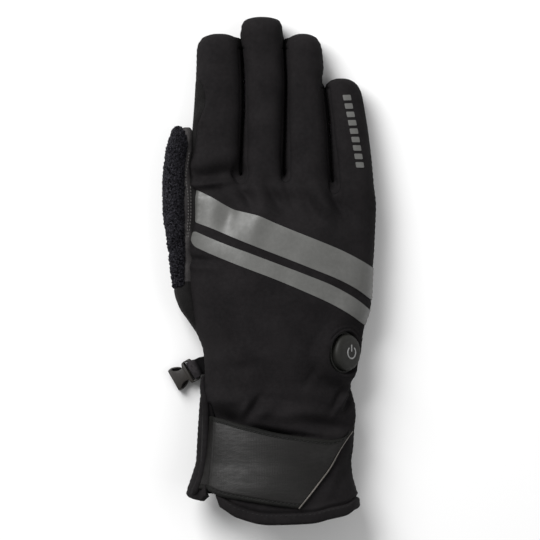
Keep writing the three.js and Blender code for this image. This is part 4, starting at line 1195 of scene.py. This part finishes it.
# The stitches on the thumb. Two rows of pale twisted thread run down the leather beside the pile,
# where it is sewn to the palm. Each stitch is a short arch that dips into the leather at both ends.


def scatter(points, faces, origins, along, up, size):
    """Copies of one small form, each turned to its own direction."""
    along = along / np.linalg.norm(along, axis=1, keepdims=True)
    aside = np.cross(up, along)
    aside /= np.maximum(np.linalg.norm(aside, axis=1, keepdims=True), 1e-9)
    ways = np.stack([along, aside, np.cross(along, aside)], 1)
    sizes = np.asarray(size, float) * np.ones((len(origins), 3))
    placed = origins[:, None] + (points[None] * sizes[:, None]) @ ways
    copies = np.arange(len(origins)) * len(points)
    return placed.reshape(-1, 3), (faces[None] + copies[:, None, None]).reshape(-1, 3)


def thread_form(sides=7):
    """One stitch along x, 1 long and 1 high, that dips into the cloth at both ends."""
    x = np.array([-0.5, -0.44, -0.3, -0.1, 0.1, 0.3, 0.44, 0.5])[:, None]
    radius = np.array([0.3, 0.42, 0.5, 0.5, 0.5, 0.5, 0.42, 0.3])[:, None]
    turn = np.linspace(0, 2 * np.pi, sides, endpoint=False)
    height = 0.5 - 5.2 * x**2 + radius * np.sin(turn)
    rings = np.stack([x + 0 * turn, radius * np.cos(turn), height], 2)
    return close_rings(rings[::-1])


stitch_points, stitch_faces = thread_form()


def sew(line, tree, pitch, length, thick, twist=0.0, sink=0.1):
    """A row of stitches down a line of x, y points, laid on whatever the tree holds."""
    run = np.linalg.norm(np.diff(line, axis=0), axis=1).sum()
    count = int(run / pitch)
    shares = (np.arange(count) + 0.5) / count
    spots = along_line(line, shares)
    ahead = along_line(line, np.clip(shares + 0.004, 0, 1)) - along_line(line, np.clip(shares - 0.004, 0, 1))
    c, s = math.cos(twist), math.sin(twist)
    origins, along, up = [], [], []
    for (x, y), (dx, dy) in zip(spots, ahead):
        spot, normal, _, _ = tree.ray_cast(Vector((x, y, 90)), Vector((0, 0, -1)))
        if spot is None:
            continue
        normal = np.array(normal)
        way = np.array([dx * c - dy * s, dx * s + dy * c, 0.0])
        origins.append(np.array(spot) - normal * sink)
        along.append(way - normal * (way @ normal))
        up.append(normal)
    places = np.array(origins), np.array(along), np.array(up)
    return scatter(stitch_points, stitch_faces, *places, (length, thick, thick))


def join_forms(name, forms, material):
    """One piece from several closed forms."""
    starts = np.cumsum([0] + [len(points) for points, _ in forms])
    faces = np.concatenate([f + start for (_, f), start in zip(forms, starts)])
    made = lay(name, np.vstack([points for points, _ in forms]), faces, [material])
    return made


# Twisted thread: fine slanting strands
strands, size, place = start_group("strands")
slanting = {"Vector": place, "Scale": scaled(strands, 900, size), "Distortion": 1.0}
twist = node(strands, "TexWave", slanting, bands_direction="DIAGONAL").outputs["Fac"]
end_group(strands, twist, noise(strands, place, 900.0, 2.0))
pale_thread = made_of("pale_thread", strands, 1.0, tone(74, 72, 71), tone(98, 96, 94), 0.7, 0.04)

whole_skin = dress(skin)
cover = np.vstack([whole_skin, thumb_dress(thumb)])
cover_faces = np.concatenate([skin_faces, thumb_faces + len(whole_skin)])
cover_tree = BVHTree.FromPolygons(cover.tolist(), cover_faces.tolist())
row_left = np.array([
    [-51.0, 132.0], [-51.8, 126.0], [-52.9, 118.0], [-52.2, 112.0], [-51.6, 106.0], [-51.5, 98.0],
    [-51.9, 90.0], [-52.3, 84.0],
])
row_right = np.array([[-50.3, 113.0], [-50.1, 106.0], [-50.1, 98.0], [-50.8, 90.0], [-51.6, 84.0]])
thumb_rows = [
    sew(line, cover_tree, pitch=1.75, length=1.5, thick=0.46, twist=0.12, sink=0.12)
    for line in (row_left, row_right)
]
join_forms("thumb_stitches", thumb_rows, pale_thread)

# The stitches and lip of the strap. Dark thread holds both long edges, and the slanting end is bound
# with a thin fold, which grows thicker towards the bottom edge. The fold's pale colour is a painted
# highlight along the edge.
dark_thread = made_of("dark_thread", strands, 1.0, tone(24), tone(34), 0.7, 0.04, 0.2)
strap_tree = BVHTree.FromPolygons(strap_points.tolist(), strap_faces.tolist())
edge_rows = []
for t in (thread_inset / strap_wide, 1 - thread_inset / strap_wide):
    line = strap_place(np.linspace(0.035, 0.975, 60), np.full(60, t))
    edge_rows.append(sew(line, strap_tree, pitch=2.3, length=1.5, thick=0.62, sink=0.12))
join_forms("strap_stitches", edge_rows, dark_thread)

lip_steps = 80
down_end = np.linspace(0, 1, lip_steps)
lip = strap_place(np.full(lip_steps, 1.0), down_end)
lip = np.column_stack([lip, cuff_top(lip[:, 0], lip[:, 1], strap_proud) - 0.75])
lip_radius = np.interp(down_end, [0, 0.25, 0.4, 1], [0.22, 0.26, 0.42, 0.46])
# painted highlight: the lip's pale colour stands in for the light that the slanting edge catches
lip_painted_highlight = made_of("lip_painted_highlight", grain, 1.6, tone(70, 66, 62), tone(96, 91, 86), 0.5, 0.1, 0.5)
strap_lip = lay("strap_lip", *tube(lip, lip_radius, 12, squash=1.6), [lip_painted_highlight])


# The stitches of the hem. Dark thread goes round the mouth just under the hem's fold, on both sides
# of the slit.
def hem_thread(first, last, steps=160):
    """A line in plan round the cuff, from one turn in degrees to another."""
    turn = np.linspace(first, last, steps)
    y = thread_high - hem_start - drop_scale * follow(*hem_drop.T, turn)
    left, right, _, _, _, square = section_at(y)
    c = np.cos(np.radians(turn))
    x = (left + right) / 2 + (right - left) / 2 * np.sign(c) * np.abs(c) ** (2 / square)
    return np.stack([x, y], 1)


hem_tree = BVHTree.FromPolygons(hem_points.tolist(), band[1].tolist())
hem_rows = [
    sew(hem_thread(*ends), hem_tree, pitch=2.6, length=1.7, thick=0.5)
    for ends in ((4, 122), (152, 176))
]
join_forms("hem_stitches", hem_rows, dark_thread)

# The heat button. A domed cap of moulded rubber on the side of the wrist, set in a thin rubber
# collar that is welded into the cloth, with a raised power sign.
button_side = np.array([math.cos(lean), 0, -math.sin(lean)])
button_up = np.array([0, 1.0, 0])
# radius, then height on the button's axis
cap_profile = np.array([
    [0.01, 2.25], [3, 2.23], [6, 2.16], [7.6, 2.02], [8.5, 1.78], [9.3, 1.3], [9.8, 0.75],
    [10.1, 0.1], [10.2, -0.7], [10.2, -3.4], [9.6, -4.0], [0.01, -4.0],
])
collar_profile = np.array([
    [10.3, -2.9], [10.45, -2.6], [10.7, -2.45], [11.2, -2.5], [11.5, -2.8], [11.6, -3.2],
    [11.6, -4.6], [11.0, -4.8], [10.3, -4.6],
])


def turned(profile, count, closed, sides=96):
    """A profile of radius and height, smoothed to count points and turned round the button's axis."""
    line = np.vstack([profile, profile[:1]]) if closed else profile
    radius, height = along_line(line, np.linspace(0, 1, count, endpoint=not closed)).T[:, :, None, None]
    turn = np.linspace(0, 2 * np.pi, sides, endpoint=False)[:, None]
    rim = button_side * np.cos(turn) + button_up * np.sin(turn)
    rings = button_at + radius * rim + height * button_axis
    low = np.arange(count * sides).reshape(count, sides)
    high = np.roll(low, -1, 0)
    if not closed:
        low, high = low[:-1], high[:-1]
    a, b, c, d = low, np.roll(low, -1, 1), high, np.roll(high, -1, 1)
    return rings.reshape(-1, 3), triangles((a, c, d), (a, d, b))


rubber = made_of("rubber", nap, 1.4, tone(27, 27, 25), tone(33, 33, 30), 0.6, 0.03, 0.25)
cap = lay("button_cap", *turned(cap_profile, 70, False), [rubber], sharp=50)
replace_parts(cap, "heat_button")
collar = lay("button_collar", *turned(collar_profile, 48, True), [rubber], sharp=60)
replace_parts(collar, "button_rim")


def on_button(path, proud=0.05):
    """A path in the cap's own plane, lifted onto its dome."""
    height = np.interp(np.hypot(*path.T), cap_profile[:6, 0], cap_profile[:6, 1]) + proud
    return button_at + path[:, :1] * button_side + path[:, 1:] * button_up + height[:, None] * button_axis


# the sign: an open ring and a short upright line
sign_centre, sign_radius, sign_stroke = 0.9, 3.3, 0.42
angles = np.radians(np.linspace(128, 412, 60))
arc = np.stack([sign_centre + sign_radius * np.cos(angles), sign_radius * np.sin(angles)], 1)
stem = np.stack([np.full(20, sign_centre), np.linspace(0.5, 4.4, 20)], 1)
strokes = [tube(on_button(path), sign_stroke, 10, squash=0.5, up=button_axis) for path in (arc, stem)]
sign_paint = made_of("sign_paint", nap, 2.0, tone(120), tone(140), 0.5, 0.02)
join_forms("power_sign", strokes, sign_paint)

# The clip. The socket half of a small side-release buckle, moulded in dark plastic, hangs from the
# wrist seam on a folded loop of woven tape and lies on the table. Its upper and lower plates leave
# a window at each side for the plug's arms, and a slotted block behind them holds the tape.
plastic = made_of("plastic", grain, 2.5, tone(31, 29, 27), tone(42, 39, 36), 0.5, 0.03, 0.4)
clip_turn = math.radians(29.6)
clip_at = np.array([-60.2, 3.9, 0.0])
# the clip's own directions: along it, across it and up
clip_ways = np.array([
    [math.cos(clip_turn), math.sin(clip_turn), 0.0],
    [-math.sin(clip_turn), math.cos(clip_turn), 0.0],
    [0.0, 0.0, 1.0],
])


def in_clip(local):
    """Points given in the clip's own directions, where it lies."""
    return clip_at + local @ clip_ways


def edge_levels(low, high, edge):
    """Heights up a plate's side, each with how far its rounded edge draws in there."""
    steps = ((0.0, 1.0), (0.3, 0.3), (1.0, 0.0))
    lower = [(low + up * edge, draw * edge) for up, draw in steps]
    return lower + [(high - up * edge, draw * edge) for up, draw in steps[::-1]]


def slab(line, low, high, edge, shift=0.0, steps=26):
    """A plate with rounded edges. Its outline is given as places along it, each with its half width."""
    run = along_line(np.asarray(line, float), np.linspace(0, 1, steps))
    around = 2 * steps
    rings = []
    for height, draw in edge_levels(low, high, edge):
        x = np.clip(run[:, 0], run[0, 0] + draw, run[-1, 0] - draw)
        half = run[:, 1] - draw
        y = np.concatenate([half, -half[::-1]]) + shift
        rings.append(np.stack([np.concatenate([x, x[::-1]]), y, np.full(around, height)], 1))
    grid = np.arange(len(rings) * around).reshape(-1, around)
    a, b, c, d = grid[:-1], np.roll(grid, -1, 1)[:-1], grid[1:], np.roll(grid, -1, 1)[1:]
    faces = [triangles((a, c, b), (b, c, d))]
    i = np.arange(steps - 1)
    for level, turn in ((grid[0], 1), (grid[-1], -1)):
        p, q, r, t = level[i], level[i + 1], level[around - 2 - i], level[around - 1 - i]
        faces.append(triangles((p, q, r), (p, r, t))[:, ::turn])
    return in_clip(np.concatenate(rings)), np.concatenate(faces)


def squarish(start, end, half, square, sides=72):
    """A ring in plan between two ends, with a half width, squarer as square grows."""
    turn = np.linspace(0, 2 * np.pi, sides, endpoint=False)
    c, s = np.cos(turn), np.sin(turn)
    scale = (np.abs(c) ** square + np.abs(s) ** square) ** (-1 / square)
    return np.stack([(start + end) / 2 + (end - start) / 2 * c * scale, half * s * scale], 1)


def slotted_block(outer, slot, low, high, edge):
    """A rounded block with a rounded slot through it, each given as its ring in plan."""
    levels = edge_levels(low, high, edge)
    steps = [(outer, draw, height) for height, draw in levels[2::-1]]
    steps += [(slot, -draw, height) for height, draw in levels]
    steps += [(outer, draw, height) for height, draw in levels[:2:-1]]
    rings = []
    for line, draw, height in steps:
        middle = line.mean(0)
        span = np.abs(line - middle).max(0)
        ring = middle + (line - middle) * (span - draw) / span
        rings.append(np.column_stack([ring, np.full(len(ring), height)]))
    a = np.arange(len(rings) * len(outer)).reshape(len(rings), -1)
    b, c = np.roll(a, -1, 1), np.roll(a, -1, 0)
    d = np.roll(c, -1, 1)
    return in_clip(np.concatenate(rings)), triangles((a, b, d), (a, d, c))


# outlines as places along the clip and half widths, then heights of the lower and upper side
upper_plate = [
    [0, 6.2], [0.7, 6.3], [1.5, 6.0], [2.5, 5.1], [4.0, 3.95], [5.6, 3.5], [7.4, 3.7], [8.6, 4.6],
    [9.2, 5.2],
]
lower_plate = [
    [0, 6.2], [0.7, 6.5], [2.3, 6.8], [4.2, 6.3], [5.7, 5.6], [7.2, 4.3], [8.2, 4.0], [9.2, 4.6],
]
mouth_wall = [[0, 0.55], [2.4, 0.55]]
middle_web = [[6.2, 3.3], [8.0, 3.4], [9.4, 5.0]]
slot_floor = [[9.0, 5.6], [10.7, 5.6]]
shoulder = [[7.9, 4.4], [8.7, 6.1], [9.95, 6.4]]
block_ring = squarish(8.7, 14.6, 6.5, 6.0)
slot_ring = squarish(9.95, 12.3, 5.4, 9.0)
clip_parts = [
    slab(upper_plate, 5.6, 7.0, 0.4),
    slab(lower_plate, 0.0, 1.4, 0.4),
    slab(mouth_wall, 0.6, 6.4, 0.2, 5.7),
    slab(mouth_wall, 0.6, 6.4, 0.2, -5.7),
    slab(middle_web, 0.5, 6.5, 0.3),
    slotted_block(block_ring, slot_ring, 1.6, 6.3, 0.45),
    slab(slot_floor, 0.9, 1.9, 0.2),
    slab(shoulder, 0.9, 7.1, 0.35),
]
arm_guide = np.array([[1.6, 6.0], [3.0, 6.1], [4.4, 5.7], [5.8, 5.1], [7.2, 4.1]])
guide_high, guide_steps = 2.7, 24
for way in (1, -1):
    rim = along_line(arm_guide * [1, way], np.linspace(0, 1, guide_steps))
    rim = in_clip(np.column_stack([rim, np.full(guide_steps, guide_high)]))
    clip_parts.append(tube(rim, 0.5, 12, squash=3.0))
clip_socket = join_forms("clip_socket", clip_parts, plastic)
clip_socket.data.set_sharp_from_angle(angle=math.radians(50))
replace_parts(clip_socket, "buckle")

# The tape. A narrow ribbed webbing comes out of the wrist seam, passes through the clip's slot and
# goes back into the seam. Its colour is painted pale where it bends over the block, as a painted highlight,
# and painted dark towards the seam, as a painted shadow under the hand's side.
tape, size, place = start_group("tape")
turned_place = node(tape, "Mapping", {"Vector": place, "Rotation": (0, 0, math.radians(-27))}).outputs[0]
warp = {"Vector": turned_place, "Scale": scaled(tape, 420, size), "Distortion": 0.6}
weft = {"Vector": turned_place, "Scale": scaled(tape, 520, size), "Distortion": 0.6}
warp = node(tape, "TexWave", warp, bands_direction="Y").outputs["Fac"]
weft = node(tape, "TexWave", weft, bands_direction="X").outputs["Fac"]
along = node(tape, "SeparateXYZ", {0: turned_place}).outputs[0]
# painted light and shade: the tape is paler over the block and fades to painted shadow towards the seam
bend = {"Value": along, "From Min": -0.0615, "From Max": -0.0598, "To Min": 1.0, "To Max": 0.0}
painted_lit_loop = node(tape, "MapRange", bend).outputs[0]
fuzz = scaled(tape, 1.5, noise(tape, place, 700.0, 2.0))
end_group(tape, scaled(tape, weft, warp), scaled(tape, fuzz, painted_lit_loop))
webbing = made_of("webbing", tape, 1.0, tone(8, 7, 8), tone(54, 51, 53), 0.9, 0.4, 0.15)

# the middle of the tape in the clip's own directions: along it, then up
loop_line = np.array([
    [25.0, 4.2], [21.0, 4.0], [18.4, 3.7], [17.0, 4.2], [16.0, 5.4], [15.2, 6.4], [14.2, 6.85],
    [12.8, 6.9], [12.0, 6.7], [11.5, 6.1], [11.35, 4.6], [11.4, 3.0], [11.8, 1.7], [12.8, 1.05],
    [14.8, 1.05], [16.4, 1.5], [18.4, 2.4], [21.0, 2.6], [25.0, 2.8],
])
tape_wide, tape_thick = 10.4, 1.05
# a section through the tape, as shares of its width and thickness
tape_section = [
    (-0.5, -0.3), (-0.47, -0.5), (0.47, -0.5), (0.5, -0.3), (0.5, 0.3), (0.47, 0.5), (-0.47, 0.5),
    (-0.5, 0.3),
]


def ribbon(path):
    """The tape along a path. It is pinched behind the clip, then widens and bends towards the seam."""
    ahead = np.gradient(path, axis=0)
    ahead /= np.linalg.norm(ahead, axis=1, keepdims=True)
    rings = []
    for (along, high), (run, rise) in zip(path, ahead):
        beyond = max(along - 16.3, 0)
        wide = tape_wide * (1 - 0.13 * math.exp(-(((along - 16.4) / 1.6) ** 2)) + 0.1 * beyond)
        rings.append([
            (along - rise * t * tape_thick, s * wide - 0.85 * beyond, high + run * t * tape_thick)
            for s, t in tape_section
        ])
    return close_rings(in_clip(np.array(rings)))


loop_path = along_line(loop_line, np.linspace(0, 1, 110))
tape_loop = lay("tape_loop", *ribbon(loop_path), [webbing], sharp=60)
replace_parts(tape_loop, "buckle_webbing")

# The pile of the thumb. Thousands of short looped tufts stand on the knitted ground of the fabric,
# taller in clumps, and each leans its own way.
tuft_random = np.random.default_rng(7)
tuft_count = 10800
lean_spread, lean_down = 0.38, -0.18
corners = pile[0][pile[1]]
ground = thumb_dress(pile[0])[pile[1]]
areas = np.linalg.norm(np.cross(ground[:, 1] - ground[:, 0], ground[:, 2] - ground[:, 0]), axis=1)
chosen = tuft_random.choice(len(areas), tuft_count, p=areas / areas.sum())
share = tuft_random.dirichlet((1, 1, 1), tuft_count)[..., None]
roots = (ground[chosen] * share).sum(1)
ups = (corners[chosen][..., 3:] * share).sum(1)
ups /= np.linalg.norm(ups, axis=1, keepdims=True)
ups += tuft_random.normal(0, lean_spread, ups.shape) + np.array([0, lean_down, 0])
x, y = roots[:, 0], roots[:, 1]
clump = 0.5 + 0.5 * np.sin(x * 2.1 + 2.0 * np.sin(y * 0.9)) * np.sin(y * 1.7 + 1.5 * np.sin(x * 1.3))
tall = (0.55 + 0.75 * clump) * tuft_random.uniform(0.75, 1.25, tuft_count)
sizes = np.stack([tall, *[tuft_random.uniform(0.5, 0.74, tuft_count)] * 2], 1)

# one tuft in three rings: height, radius and how far it bends over
tuft_turn = np.linspace(0, 2 * np.pi, 3, endpoint=False)
tuft_rings = np.stack([
    np.stack([np.full(3, high), wide * np.cos(tuft_turn) + bend, wide * np.sin(tuft_turn)], 1)
    for high, wide, bend in ((-0.25, 0.5, 0.0), (0.45, 0.62, 0.12), (0.9, 0.4, 0.4))
])
tufts = scatter(*close_rings(tuft_rings[::-1]), roots, ups, tuft_random.normal(0, 1, ups.shape), sizes)
thumb_tufts = lay("thumb_tufts", *tufts, [terry])
